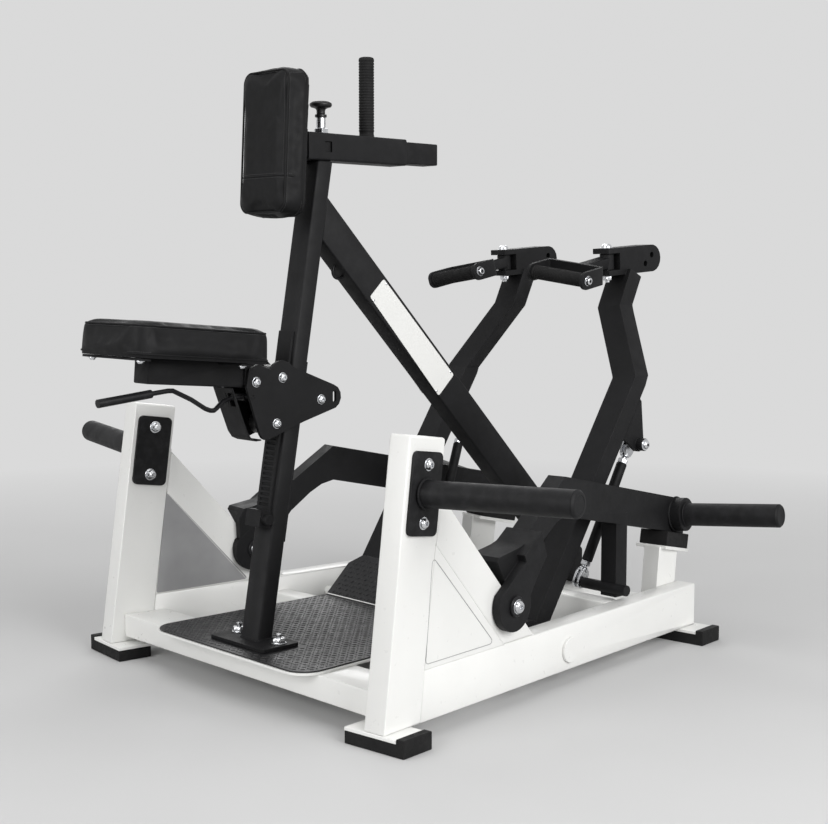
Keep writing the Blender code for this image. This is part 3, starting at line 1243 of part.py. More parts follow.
def handle_solids():
    """The stirrup with its tongue, and the grip that turns on its pin."""
    level = head_place() @ Matrix.Rotation(math.radians(-90), 4, "X")
    half = TONGUE_WIDTH / 2
    boss_half = FORK_GAP / 2 - TONGUE_CLEAR
    boss = rod(half, -boss_half, boss_half, level, 24)
    rolled = stirrup_place()
    tongue = slab(box_outline(0.0, STRAP_BACK + 0.004, -TONGUE_HEIGHT / 2 + 0.004, TONGUE_HEIGHT / 2 - 0.004),
                  -half + 0.003, half - 0.003, rolled, edge=0.002)
    ear_low = GRIP_LENGTH / 2 + 0.001
    ear_high = ear_low + STRAP_THICK
    lying = rolled @ Matrix.Rotation(math.radians(-90), 4, "X")
    front = GRIP_AXIS + 0.021
    u_outer = [(STRAP_BACK, -ear_high), (front, -ear_high), (front, -ear_low),
               (STRAP_BACK + STRAP_THICK, -ear_low), (STRAP_BACK + STRAP_THICK, ear_low), (front, ear_low),
               (front, ear_high), (STRAP_BACK, ear_high)]
    strap = slab(rounded(u_outer, [0.010, 0.002, 0.002, 0.004, 0.004, 0.002, 0.002, 0.010]),
                 -STRAP_HEIGHT / 2, STRAP_HEIGHT / 2, lying)
    trim = rounded(box_outline(STRAP_BACK - 0.02, front, -STRAP_HEIGHT / 2, STRAP_HEIGHT / 2),
                   [0, 0.019, 0.019, 0], 5)
    strap = common(strap, slab(trim, -CUTTER, CUTTER, rolled))
    grip_axis = shifted(rolled, x=GRIP_AXIS)
    pin = rod(GRIP_PIN_RADIUS, -ear_high - 0.004, ear_high + 0.004, grip_axis, 12)
    heads = [rod(NUT_RADIUS, ear_high - WELD, ear_high + 0.007, grip_axis, 12),
             rod(NUT_RADIUS, -ear_high - 0.007, -ear_high + WELD, grip_axis, 12)]
    stirrup = joined(strap, tongue, boss, pin, *heads)
    stirrup = cut(stirrup, rod(BOLT_RADIUS + BORE_GAP, -FORK_GAP, FORK_GAP, level, 16))
    bore = GRIP_PIN_RADIUS + BORE_GAP
    length = GRIP_LENGTH / 2
    grip = turned([(bore, length), (GRIP_RADIUS - 0.002, length), (GRIP_RADIUS, length - 0.002),
                   (GRIP_RADIUS, -length + 0.002), (GRIP_RADIUS - 0.002, -length), (bore, -length),
                   (bore, length)], grip_axis, 20)
    return stirrup, grip, grip_axis.translation.copy()


def bar_frame():
    """At the load arm's bend: x rearwards along the bar in plan, y up, z outwards."""
    bend = ARM @ Vector((ARM_BEND[0], ARM_BEND[1] - ARM_PIVOT[1], ARM_BEND_V))
    return plan_frame(bend, ARM_TOE)


def arm_solid():
    """The load arm on the right: fork, bent bar and drop bar, one weldment."""
    bar = bar_frame()
    fall = math.tan(ARM_FALL)
    rise = math.tan(ARM_RISE)
    thick = ARM_DEPTH / math.cos(ARM_FALL)
    end = ARM_BAR_LENGTH
    outline = [(ARM_FRONT, ARM_FRONT * rise), (0.0, 0.0), (end, -end * fall), (end, -end * fall - thick),
               (0.0, -thick), *ARM_UNDER]
    beam = slab(outline, -ARM_WIDTH / 2, ARM_WIDTH / 2, bar)

    inner = RAIL_WIDTH / 2 + LUG_CLEAR
    outer = inner + LUG_THICK
    lugs = arc((0.0, 0.0), LUG_RADIUS, 150, 375, 18) + list(LUG_TOP)
    beam = joined(beam, slab(lugs, -outer, outer, ARM), slab(LUG_SHOULDER, GAP - outer, inner - WELD, ARM))

    normal = math.pi / 2 - BRACE_FALL
    clear = slot_outline(normal, brace_cover() + BRACE_CLEAR)
    bore = rod(PIVOT_BOLT_RADIUS + BORE_GAP, -2 * outer, 2 * outer, ARM, 24)
    beam = cut(beam, slab(clear, -inner, inner, ARM), bore)

    drop_x = drop_centre_x()
    drop = slab(box_outline(DROP_Y - DROP_DEPTH / 2, DROP_Y + DROP_DEPTH / 2, DROP_BOTTOM, DROP_TOP),
                drop_x - DROP_WIDTH / 2, drop_x + DROP_WIDTH / 2, MID)
    low = LINK_LOW
    tube = rod(LINK_TUBE_RADIUS, low[0] + LINK_EYE_WIDTH / 2 + LUG_CLEAR, drop_x + DROP_TUBE_REACH,
               shifted(MID, low[1], low[2]), 20)
    pin = rod(LINK_PIN_RADIUS, low[0] - LINK_EYE_WIDTH / 2 - 0.006, low[0] + LINK_EYE_WIDTH / 2 + 0.010,
              shifted(MID, low[1], low[2]), 16)
    beam = joined(beam, drop, tube, pin)

    collar = rod(LOAD_COLLAR_RADIUS, -0.004, ARM_WIDTH / 2 + LOAD_COLLAR_THICK, load_horn_place(), 32)
    return joined(beam, collar)


def drop_centre_x():
    """X of the load bar's middle over the drop bar."""
    bar = bar_frame()
    return bar.translation.x - (DROP_Y - bar.translation.y) * math.tan(ARM_TOE)


def brace_cover():
    """Distance from the load arm's pivot to the brace's rear edge."""
    normal = (math.sin(BRACE_FALL), math.cos(BRACE_FALL))
    return (BRACE_REAR[0] - ARM_PIVOT[0]) * normal[0] + (BRACE_REAR[1] - ARM_PIVOT[1]) * normal[1]


def slot_outline(normal, gap):
    """What the arm must leave free so that the brace clears it over the arm's range."""
    turn = ARM_RANGE + math.radians(1.0)
    low = normal - turn
    half = turn / 2
    corner_angle = normal - half
    corner_at = gap / math.cos(half)
    corner = (corner_at * math.cos(corner_angle), corner_at * math.sin(corner_angle))
    reach = 0.3
    up = (corner[0] - math.sin(low) * reach, corner[1] + math.cos(low) * reach)
    down = (corner[0] + math.sin(normal) * reach, corner[1] - math.cos(normal) * reach)
    return [corner, up, (-0.5, up[1]), (-0.5, down[1]), down]


def load_horn_place():
    """On the bar's middle line near its rear end; z runs outwards along the horn."""
    bar = bar_frame()
    back = ARM_BAR_LENGTH - LOAD_HORN_BACK
    middle = -back * math.tan(ARM_FALL) - ARM_DEPTH / math.cos(ARM_FALL) / 2
    point = bar @ Vector((back, middle, 0.0))
    rear = bar.to_3x3() @ Vector((1, 0, 0))
    outwards = bar.to_3x3() @ Vector((0, math.sin(LOAD_HORN_TILT), math.cos(LOAD_HORN_TILT)))
    return frame(point, rear, outwards.cross(rear))


def build_load_arms():
    pivot = ARM.translation.copy()
    right = joint("arm_turn_right", pivot)
    left = joint("arm_turn_left", left_point(pivot))
    pair(arm_solid(), "load_arm", "black", right, left)

    foot = ARM_WIDTH / 2 + LOAD_COLLAR_THICK + GAP
    top = foot + LOAD_HORN_LENGTH
    horn = turned([(0.0, top), (LOAD_HORN_RADIUS - 0.003, top), (LOAD_HORN_RADIUS, top - 0.003),
                   (LOAD_HORN_RADIUS, foot), (0.0, foot)], load_horn_place(), 24)
    pair(horn, "load_horn", "black", right, left)

    face = RAIL_WIDTH / 2 + LUG_CLEAR + LUG_THICK
    pivot_bolt = bolt(shifted(ARM, z=face), 2 * face, head_radius=0.014, radius=PIVOT_BOLT_RADIUS)
    pair(pivot_bolt, "arm_pivot_bolt", "chrome")

    place = rest_place()
    top = -ARM_DEPTH - GAP
    bumper = slab(box_outline(BUMPER_START, BUMPER_START + BUMPER_LENGTH, top - BUMPER_THICK, top),
                  -BUMPER_WIDTH / 2, BUMPER_WIDTH / 2, place)
    pair(bumper, "stop_bumper", "rubber")


def build_links():
    low = Vector(LINK_LOW)
    high = Vector(LINK_HIGH)
    way = (high - low).normalized()
    length = (high - low).length
    across = frame(low, Vector((1, 0, 0)) - way * way.x, way.cross(Vector((1, 0, 0)) - way * way.x))
    body_low = LINK_FORK_LENGTH
    body_high = length - LINK_FORK_LENGTH
    profile = [(0.0, length - 0.002), (LINK_NECK_RADIUS, length - 0.002),
               (LINK_NECK_RADIUS, body_high + LINK_COLLAR), (LINK_COLLAR_RADIUS, body_high + LINK_COLLAR),
               (LINK_COLLAR_RADIUS, body_high), (LINK_ROD_RADIUS, body_high), (LINK_ROD_RADIUS, body_low),
               (LINK_COLLAR_RADIUS, body_low), (LINK_COLLAR_RADIUS, body_low - LINK_COLLAR),
               (LINK_NECK_RADIUS, body_low - LINK_COLLAR), (LINK_NECK_RADIUS, 0.002), (0.0, 0.002)]
    pieces = [turned(profile, across, 20)]
    holes = []
    for point, bore in ((low, LINK_PIN_RADIUS + BORE_GAP), (high, LINK_PIN_RADIUS + LINK_SLACK)):
        eye_place = frame(point, (0, 1, 0), (0, 0, 1))
        pieces.append(rod(LINK_EYE_RADIUS, -LINK_EYE_WIDTH / 2, LINK_EYE_WIDTH / 2, eye_place, 20))
        holes.append(rod(bore, -CUTTER, CUTTER, eye_place, 16))
    right = joint("link_turn_right", LINK_LOW, "arm_turn_right")
    left = joint("link_turn_left", left_point(LINK_LOW), "arm_turn_left")
    pair(cut(joined(*pieces), *holes), "link", "black", right, left)


def place_on_floor():
    """Move the machine so that the origin is on the floor under the box's middle."""
    bpy.context.view_layer.update()
    graph = bpy.context.evaluated_depsgraph_get()
    low = Vector((1e9, 1e9, 1e9))
    high = -low
    for obj in PARTS.objects:
        if obj.type != "MESH":
            continue
        shape = obj.evaluated_get(graph)
        for vertex in shape.data.vertices:
            point = obj.matrix_world @ vertex.co
            low = Vector(map(min, low, point))
            high = Vector(map(max, high, point))
    ROOT.location = (0.0, -(low.y + high.y) / 2, -low.z)
    print("moved by", tuple(round(value, 5) for value in ROOT.location))


build_side_frames()
build_cross_members()
build_feet()
build_column()
build_rack()
build_carriage()
build_top()
build_levers()
build_load_arms()
build_links()
place_on_floor()
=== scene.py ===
import json
import math

import bmesh
import bpy
from mathutils import Matrix, Vector
from mathutils.bvhtree import BVHTree

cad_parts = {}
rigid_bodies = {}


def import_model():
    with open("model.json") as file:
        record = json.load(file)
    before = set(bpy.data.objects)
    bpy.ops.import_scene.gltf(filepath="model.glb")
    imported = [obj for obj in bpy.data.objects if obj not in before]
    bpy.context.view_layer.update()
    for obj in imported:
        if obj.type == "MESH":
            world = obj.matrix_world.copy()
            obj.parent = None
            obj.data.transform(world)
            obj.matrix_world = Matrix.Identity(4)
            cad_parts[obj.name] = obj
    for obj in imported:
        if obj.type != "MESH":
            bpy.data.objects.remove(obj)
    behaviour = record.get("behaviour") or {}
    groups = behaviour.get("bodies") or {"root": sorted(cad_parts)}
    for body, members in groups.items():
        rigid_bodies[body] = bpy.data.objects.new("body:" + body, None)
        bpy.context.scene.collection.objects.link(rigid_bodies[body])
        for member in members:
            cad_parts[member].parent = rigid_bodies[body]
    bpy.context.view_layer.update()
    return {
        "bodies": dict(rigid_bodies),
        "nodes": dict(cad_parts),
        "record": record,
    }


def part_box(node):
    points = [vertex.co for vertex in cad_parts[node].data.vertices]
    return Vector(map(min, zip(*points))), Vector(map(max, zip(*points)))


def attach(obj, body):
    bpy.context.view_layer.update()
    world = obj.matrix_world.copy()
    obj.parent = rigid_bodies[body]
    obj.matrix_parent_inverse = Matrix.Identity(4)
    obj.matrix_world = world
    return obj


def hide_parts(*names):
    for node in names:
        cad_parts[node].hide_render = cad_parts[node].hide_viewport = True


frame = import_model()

# Sizes and places shared with the CAD, in its working axes
AXLE = (0.595, 0.045)
RAIL_HALF = 0.4885
TOE = math.radians(5.94)
RAIL_WIDTH = 0.0508
POST_LEAN = math.radians(7.8)
POST_DEPTH = 0.1016
HORN_ROWS = (0.3965, 0.5065)
HORN_PLATE = (0.372, 0.531, 0.084, 0.006)  # low edge, high edge, width, thickness
HORN_TILT = math.radians(1.9)
HORN_TURN = math.radians(5.0)
HORN_LENGTH = 0.330
HORN_RADIUS = 0.026
ARM_PIVOT = (0.376, 0.182)
ARM_TOE = math.radians(10.0)
ARM_FALL = math.radians(12.0)
ARM_BEND = (0.235, 0.416, -0.0205)
ARM_WIDTH = 0.044
ARM_DEPTH = 0.084
ARM_BAR = 0.571
LUG_FACE = 0.0459
LOAD_HORN_BACK = 0.042
LOAD_HORN_TILT = math.radians(4.9)
LOAD_HORN_LENGTH = 0.241
LOAD_HORN_RADIUS = 0.0275
LOAD_COLLAR = (0.0405, 0.029)  # radius, length
SWIVEL = (0.170, 1.022, 0.876)
HEAD_SLOPE = math.radians(4.0)
HEAD_HEIGHT = 0.066
STIRRUP_DROP = math.radians(11.0)
STIRRUP_ROLL = math.radians(7.7)
GRIP_AXIS = 0.177
EAR_FACE = 0.084
GRIP_HALF = 0.075
GRIP_RADIUS = 0.017
LINK_LOW = (0.245, 0.842, 0.128)
LINK_HIGH = (0.2785, 0.980, 0.447)
LEVER_OUTER = 0.3095
LEVER_BOSS = 0.016
COLUMN_Y = 0.045
COLUMN_LEAN = math.radians(9.87)
SPINE_HALF = 0.0254
SEAT_SLOPE = math.radians(4.9)
SEAT_FRONT = (-0.273, 0.7645)
TRAY_DECK = 0.0747
PLATE_FACE = 0.041
TREAD_HALF = (0.262, 0.240)  # half width at the front and at the rear
TREAD_FRONT = -0.007
TREAD_LENGTH = 0.479
REST_SLOPE = math.radians(43.0)
REST_FOOT = (0.477, TRAY_DECK - 0.0027)
BRACE_FALL = math.radians(47.65)
BRACE_REAR = (0.198, 0.398)
BRACE_DEPTH = 0.0762
PAD_LEAN = math.radians(3.0)
PAD_MIDDLE = (0.1355, 1.118)

# Sizes of the scene alone. Screws: head radius, head height, washer radius
SKIN = 0.0003
HORN_SCREW = (0.0100, 0.0074, 0.0124)
ARM_SCREW = (0.0135, 0.0080, 0.0150)
SWIVEL_SCREW = (0.0125, 0.0085, 0.0155)
GRIP_SCREW = (0.0104, 0.0066, 0.0118)
LINK_SCREW = (0.0098, 0.0072, 0.0135)
CARRIAGE_SCREW = (0.0092, 0.0066, 0.0108)
SEAT_SCREW = (0.0060, 0.0042, 0.0085)
SHANK_RADIUS = 0.0058
ARM_SHANK_RADIUS = 0.0095
FORK = 0.052
RIB_PITCH = 0.0044
SLEEVE_RIB_PITCH = 0.0060
BEAD_WAVE = 0.12
SEAM_BEAD = 0.0024
FINE_BEAD = 0.0011
BAR_LENGTH = 0.0100
BAR_WIDTH = 0.0034
BAR_RISE = 0.0013
TREAD_PITCH = 0.0125
SHEET_END = 0.470
SHEET_CORNER = (0.048, 0.041, 0.046)  # inset, y, reach of the bars
BASE_CLEAR = (0.101, 0.018, 0.130)  # half width, front, rear
REST_HALF = 0.233
REST_CUT = 0.100
GUSSET_SHADE_OUTLINE = ((0.148, 0.341), (0.118, 0.104), (0.367, 0.106))
GUSSET_BORDER = ((0.139, 0.318), (0.119, 0.112), (0.333, 0.112))
SPINE_PLATE = ((0.422, 0.837), (0.642, 0.613), (0.593, 0.567), (0.381, 0.798))
RIVET_INSET = 0.915
HOOK = ((0.300, 0.886), (0.300, 0.866), (0.296, 0.853), (0.301, 0.842), (0.313, 0.838),
        (0.324, 0.844), (0.327, 0.855))
# Pads: length, width, thickness, corner radius
SEAT_SIZE = (0.331, 0.231, 0.070, 0.034)
PAD_SIZE = (0.309, 0.167, 0.060, 0.031)
SEAM_UP = 0.0835
PAD_DRAW = 0.0045
PAD_SWELL = 0.0055
PAD_FLAT_EDGE = 0.0045
VOXEL = 0.005
CLOTH = {"quality": 6, "mass": 0.3, "tension_stiffness": 14.0, "compression_stiffness": 14.0,
         "shear_stiffness": 6.0, "bending_stiffness": 0.6, "use_pressure": True,
         "uniform_pressure_force": 4.0, "vertex_group_mass": "held"}
CLOTH_STEPS = 20
STITCH = 0.0042
SEWN_LIFT = 0.0002
PATH_PITCH = 0.003
THREAD_RADIUS = 0.0005
BACKGROUND = 0.70
WORLD_LIGHT = 0.40


def centre_of(node):
    low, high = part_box(node)
    return (Vector(low) + Vector(high)) / 2


SHIFT = centre_of("lever_axle") - Vector((0.0, *AXLE))
MIRROR = Matrix.Scale(-1, 4, (1, 0, 0))
BODY_OF = {node: body for body, nodes in frame["record"]["behaviour"]["bodies"].items() for node in nodes}


def placed(origin, x_axis, y_axis):
    """A placement whose local z is x_axis crossed with y_axis."""
    x_axis = Vector(x_axis).normalized()
    y_axis = Vector(y_axis).normalized()
    turned = Matrix((x_axis, y_axis, x_axis.cross(y_axis))).transposed().to_4x4()
    turned.translation = Vector(origin)
    return turned


def moved(base, x=0.0, y=0.0, z=0.0):
    return base @ Matrix.Translation((x, y, z))


def flipped(base):
    """The same place with its z back to front."""
    return base @ Matrix.Rotation(math.pi, 4, "X")


def ends(base, reach):
    """The places at both ends of a bolt of this half length, with z outwards."""
    return moved(base, z=reach), flipped(moved(base, z=-reach))


def tilted(origin, slope):
    """Local x runs along Y, climbing at the slope, and y up out of it."""
    rise, run = math.sin(slope), math.cos(slope)
    return WORK @ placed(origin, (0.0, run, rise), (0.0, -rise, run))


def plan(origin, toe):
    """Local x runs rearwards and inwards by the toe angle, y up, z outwards."""
    return placed(origin, (-math.sin(toe), math.cos(toe), 0.0), (0.0, 0.0, 1.0))


WORK = Matrix.Translation(SHIFT)
RAIL = WORK @ plan((RAIL_HALF, 0.0, 0.0), TOE)
POST = RAIL @ Matrix.Rotation(-POST_LEAN, 4, "Z")
ARM = moved(RAIL, ARM_PIVOT[0], ARM_PIVOT[1], -RAIL_WIDTH / 2)
BAR = plan(ARM @ Vector((ARM_BEND[0], ARM_BEND[1] - ARM_PIVOT[1], ARM_BEND[2])), ARM_TOE)
HEAD = tilted(SWIVEL, HEAD_SLOPE)
HEAD_UP = HEAD @ Matrix.Rotation(-math.pi / 2, 4, "X")
STIRRUP = WORK @ placed(SWIVEL, (0.0, -math.cos(STIRRUP_DROP), -math.sin(STIRRUP_DROP)),
                        (0.0, -math.sin(STIRRUP_DROP), math.cos(STIRRUP_DROP)))
STIRRUP = STIRRUP @ Matrix.Rotation(-STIRRUP_ROLL, 4, "X")
SEAT = tilted((0.0, *SEAT_FRONT), -SEAT_SLOPE)


def maths(tree, operation, first, second):
    """A math node fed by outputs or plain numbers."""
    made = tree.nodes.new("ShaderNodeMath")
    made.operation = operation
    for socket, value in zip(made.inputs, (first, second)):
        if isinstance(value, float):
            socket.default_value = value
        else:
            tree.links.new(value, socket)
    return made.outputs["Value"]


# Materials: every one is procedural, in the object's own coordinates
class Look:
    """A Principled material with helpers for its textures."""

    def __init__(self, name, **values):
        self.material = bpy.data.materials.new(name)
        self.material.use_nodes = True
        self.tree = self.material.node_tree
        self.shader = self.tree.nodes["Principled BSDF"]
        self.where = self.tree.nodes.new("ShaderNodeTexCoord").outputs["Object"]
        self.last_bump = None
        for socket, value in values.items():
            self.shader.inputs[socket.replace("_", " ")].default_value = value

    def link(self, output, socket):
        self.tree.links.new(output, socket)

    def node(self, kind, **values):
        made = self.tree.nodes.new("ShaderNode" + kind)
        for key, value in values.items():
            setattr(made, key, value)
        return made

    def noise(self, scale, detail=3.0, rough=0.55, stretch=None):
        texture = self.node("TexNoise")
        texture.inputs["Scale"].default_value = scale
        texture.inputs["Detail"].default_value = detail
        texture.inputs["Roughness"].default_value = rough
        source = self.where
        if stretch:
            mapping = self.node("Mapping")
            mapping.inputs["Scale"].default_value = stretch
            self.link(source, mapping.inputs["Vector"])
            source = mapping.outputs["Vector"]
        self.link(source, texture.inputs["Vector"])
        return texture.outputs["Fac"]

    def cells(self, scale):
        texture = self.node("TexVoronoi", feature="DISTANCE_TO_EDGE")
        texture.inputs["Scale"].default_value = scale
        self.link(self.where, texture.inputs["Vector"])
        return texture.outputs["Distance"]

    def between(self, value, low, high, to_low, to_high):
        made = self.node("MapRange")
        numbers = {"From Min": low, "From Max": high, "To Min": to_low, "To Max": to_high}
        for socket, number in numbers.items():
            made.inputs[socket].default_value = number
        self.link(value, made.inputs["Value"])
        return made.outputs["Result"]

    def mixed(self, share, first, second):
        made = self.node("Mix", data_type="RGBA")
        self.link(share, made.inputs[0])
        for socket, value in ((made.inputs[6], first), (made.inputs[7], second)):
            if isinstance(value, tuple):
                socket.default_value = (*value, 1.0)
            else:
                self.link(value, socket)
        return made.outputs[2]

    def edges(self):
        """How far a point lies on a convex edge."""
        return self.between(self.node("NewGeometry").outputs["Pointiness"], 0.53, 0.62, 0.0, 1.0)

    def colour(self, output):
        self.link(output, self.shader.inputs["Base Color"])

    def clouded(self, scale, detail, dark, light, high=0.7):
        """A colour that drifts from dark to light."""
        made = self.node("ValToRGB")
        for element, at, colour in zip(made.color_ramp.elements, (0.3, high), (dark, light)):
            element.position = at
            element.color = (*colour, 1.0)
        self.link(self.noise(scale, detail), made.inputs["Fac"])
        return made.outputs["Color"]

    def uneven(self, scale, low, high, detail=3.0):
        """A roughness that wanders between two values."""
        rough = self.between(self.noise(scale, detail), 0.3, 0.7, low, high)
        self.link(rough, self.shader.inputs["Roughness"])

    def bump(self, height, strength, distance):
        made = self.node("Bump")
        made.inputs["Strength"].default_value = strength
        made.inputs["Distance"].default_value = distance
        self.link(height, made.inputs["Height"])
        if self.last_bump:
            self.link(self.last_bump, made.inputs["Normal"])
        self.last_bump = made.outputs["Normal"]
        self.link(self.last_bump, self.shader.inputs["Normal"])


def white_paint():
    look = Look("gloss_white_powder_coat", Coat_Weight=0.25, Coat_Roughness=0.12, Specular_IOR_Level=0.5)
    base = look.clouded(5.0, 4.0, (0.79, 0.79, 0.77), (0.83, 0.83, 0.81))
    grime = look.between(look.noise(38.0, 5.0, 0.7), 0.62, 0.86, 0.0, 0.35)
    look.colour(look.mixed(grime, base, (0.70, 0.695, 0.67)))
    look.uneven(60.0, 0.27, 0.40)
    look.bump(look.noise(260.0, 1.5), 0.10, 0.0012)
    look.bump(look.noise(1100.0, 2.0), 0.05, 0.0004)
    return look.material


def black_paint(name="textured_black_powder_coat", grain=1900.0, depth=0.32, rough=(0.50, 0.64), lift=0.75):
    look = Look(name, Specular_IOR_Level=0.20)
    dark = tuple(value * lift for value in (0.0062, 0.0062, 0.0068))
    light = tuple(value * lift for value in (0.0105, 0.0105, 0.0115))
    base = look.clouded(9.0, 4.0, dark, light)
    speck = look.between(look.noise(900.0, 2.0), 0.60, 0.78, 0.0, 0.55)
    speckled = look.mixed(speck, base, (0.026, 0.026, 0.028))
    patches = look.between(look.noise(45.0, 4.0), 0.45, 0.75, 0.0, 0.40)
    # Convex edges in patches are painted paler: partly edge wear, partly a painted edge highlight
    paler_share = maths(look.tree, "MULTIPLY", look.edges(), patches)
    look.colour(look.mixed(paler_share, speckled, (0.050, 0.050, 0.053)))
    look.uneven(30.0, *rough)
    look.bump(look.noise(grain, 2.5, 0.7), depth, 0.0004)
    look.bump(look.noise(320.0, 2.0), 0.10, 0.0006)
    return look.material


def vinyl():
    look = Look("black_upholstery_vinyl", Specular_IOR_Level=0.16)
    look.colour(look.clouded(14.0, 4.0, (0.0045, 0.0045, 0.0048), (0.0080, 0.0080, 0.0086)))
    look.uneven(70.0, 0.50, 0.62)
    look.bump(look.cells(820.0), 0.30, 0.0005)
    look.bump(look.noise(1500.0, 2.0), 0.14, 0.0003)
    look.bump(look.noise(26.0, 3.0), 0.16, 0.0020)
    return look.material


def rubber(name="moulded_black_rubber", scale=1400.0):
    look = Look(name, Specular_IOR_Level=0.20)
    base = look.clouded(22.0, 5.0, (0.0075, 0.0075, 0.0078), (0.0135, 0.0132, 0.0132), 0.75)
    dust = look.between(look.noise(120.0, 5.0, 0.7), 0.60, 0.85, 0.0, 0.40)
    look.colour(look.mixed(dust, base, (0.036, 0.035, 0.034)))
    look.uneven(90.0, 0.62, 0.80)
    look.bump(look.noise(scale, 3.0, 0.7), 0.35, 0.0004)
    return look.material


def nylon():
    look = Look("black_nylon", Specular_IOR_Level=0.35)
    look.colour(look.clouded(60.0, 3.0, (0.008, 0.008, 0.0085), (0.0125, 0.0125, 0.013)))
    look.uneven(40.0, 0.30, 0.42)
    look.bump(look.noise(500.0, 2.0, stretch=(1.0, 8.0, 8.0)), 0.10, 0.0003)
    return look.material


def chrome(name="bright_zinc_plate", rough=(0.14, 0.26), tint=(0.72, 0.73, 0.75)):
    look = Look(name, Metallic=1.0)
    dull = tuple(value * 0.86 for value in tint)
    look.colour(look.clouded(160.0, 4.0, dull, tint))
    look.uneven(240.0, *rough, detail=4.0)
    look.bump(look.noise(700.0, 2.0, stretch=(1.0, 1.0, 12.0)), 0.08, 0.0002)
    return look.material


def tread_black():
    look = Look("black_tread_coat", Specular_IOR_Level=0.40)
    base = look.clouded(18.0, 5.0, (0.007, 0.007, 0.0076), (0.013, 0.013, 0.014))
    # Paler specks scattered by noise
    paler_share = look.between(look.noise(300.0, 4.0, 0.7), 0.55, 0.80, 0.0, 0.5)
    look.colour(look.mixed(paler_share, base, (0.050, 0.050, 0.054)))
    look.uneven(50.0, 0.34, 0.52)
    look.bump(look.noise(900.0, 3.0, 0.7), 0.30, 0.0004)
    return look.material


# A grey that stands for shade: painted shade on the white inner side of the gussets, and also the colour of
# their border line
def shade_and_line_grey_look():
    look = Look("painted_shade_and_line_grey", Metallic=0.35, Specular_IOR_Level=0.5)
    look.colour(look.clouded(6.0, 3.0, (0.30, 0.30, 0.305), (0.40, 0.40, 0.405)))
    look.uneven(80.0, 0.38, 0.52)
    look.bump(look.noise(600.0, 2.0, stretch=(12.0, 1.0, 1.0)), 0.06, 0.0003)
    return look.material


def thread():
    look = Look("black_stitching_thread", Sheen_Weight=0.2)
    look.colour(look.clouded(1500.0, 3.0, (0.020, 0.020, 0.021), (0.040, 0.040, 0.042)))
    look.uneven(800.0, 0.55, 0.75)
    look.bump(look.noise(2600.0, 1.0, stretch=(3.0, 1.0, 1.0)), 0.4, 0.0004)
    return look.material


WHITE = (white_paint(), "white_paint")
BLACK = (black_paint(), "black_paint")
SATIN = (black_paint("satin_black_tube", 2600.0, 0.16, (0.28, 0.40), 1.1), "black_paint")
VINYL = (vinyl(), "upholstery")
RUBBER = (rubber(), "rubber")
GRIP = (rubber("ribbed_grip_rubber", 1900.0), "rubber")
NYLON = (nylon(), "roller")
CHROME = (chrome(), "chrome")
STEEL = (chrome("brushed_steel_rod", (0.20, 0.34), (0.60, 0.61, 0.63)), "chrome")
TREAD = (tread_black(), "tread")
SHADE_AND_LINE_GREY = (shade_and_line_grey_look(), "white_paint")
THREAD = (thread(), "upholstery")


# Mesh builders: each adds to a bmesh
def lathe(shape, profile, place, steps=64):
    """Spins (radius, height) about z; a third number makes that ring a polygon with so many sides."""
    rings = []
    for entry in profile:
        radius, height = entry[:2]
        if radius < 1e-7:
            rings.append([shape.verts.new(place @ Vector((0.0, 0.0, height)))])
            continue
        ring = []
        for step in range(steps):
            angle = math.tau * step / steps
            reach = radius
            if len(entry) > 2:
                part = math.tau / entry[2]
                reach = radius / math.cos((angle + part / 2) % part - part / 2)
            spot = Vector((reach * math.cos(angle), reach * math.sin(angle), height))
            ring.append(shape.verts.new(place @ spot))
        rings.append(ring)
    for lower, upper in zip(rings, rings[1:]):
        for step in range(steps):
            after = (step + 1) % steps
            if len(lower) == 1:
                shape.faces.new((lower[0], upper[step], upper[after]))
            elif len(upper) == 1:
                shape.faces.new((lower[step], upper[0], lower[after]))
            else:
                shape.faces.new((lower[step], upper[step], upper[after], lower[after]))


def bridge(shape, lower, upper):
    """Four-sided faces between two rings of vertices."""
    for index in range(len(lower)):
        after = (index + 1) % len(lower)
        shape.faces.new((lower[index], lower[after], upper[after], upper[index]))


def prism(shape, outline, low, high, place):
    """A flat outline extruded along z."""
    bottom = [shape.verts.new(place @ Vector((x, y, low))) for x, y in outline]
    top = [shape.verts.new(place @ Vector((x, y, high))) for x, y in outline]
    shape.faces.new(bottom)
    shape.faces.new(top)
    bridge(shape, bottom, top)


def tube(shape, points, radius, sides=8, closed=False, wave=0.0):
    """A round bead or wire through points; wave swells it like a weld's ripples."""
    count = len(points)
    rings = []
    for index, point in enumerate(points):
        before = points[index - 1] if index or closed else point
        after = points[(index + 1) % count] if index < count - 1 or closed else point
        way = (after - before).normalized()
        side = way.orthogonal().normalized()
        if rings:
            side = (last_side - way * last_side.dot(way)).normalized()
        last_side = side
        up = way.cross(side)
        here = radius * (1.0 + wave * math.sin(index * math.tau / 4))
        ring = []
        for step in range(sides):
            angle = math.tau * step / sides
            ring.append(shape.verts.new(point + (side * math.cos(angle) + up * math.sin(angle)) * here))
        rings.append(ring)
    for lower, upper in zip(rings, rings[1:]):
        bridge(shape, lower, upper)
    if closed:
        bridge(shape, rings[-1], rings[0])
    else:
        shape.faces.new(rings[0])
        shape.faces.new(rings[-1])


def line_points(start, end, pitch=0.0012):
    """Evenly spaced points from start to end."""
    count = max(2, int((end - start).length / pitch))
    return [start.lerp(end, index / count) for index in range(count + 1)]


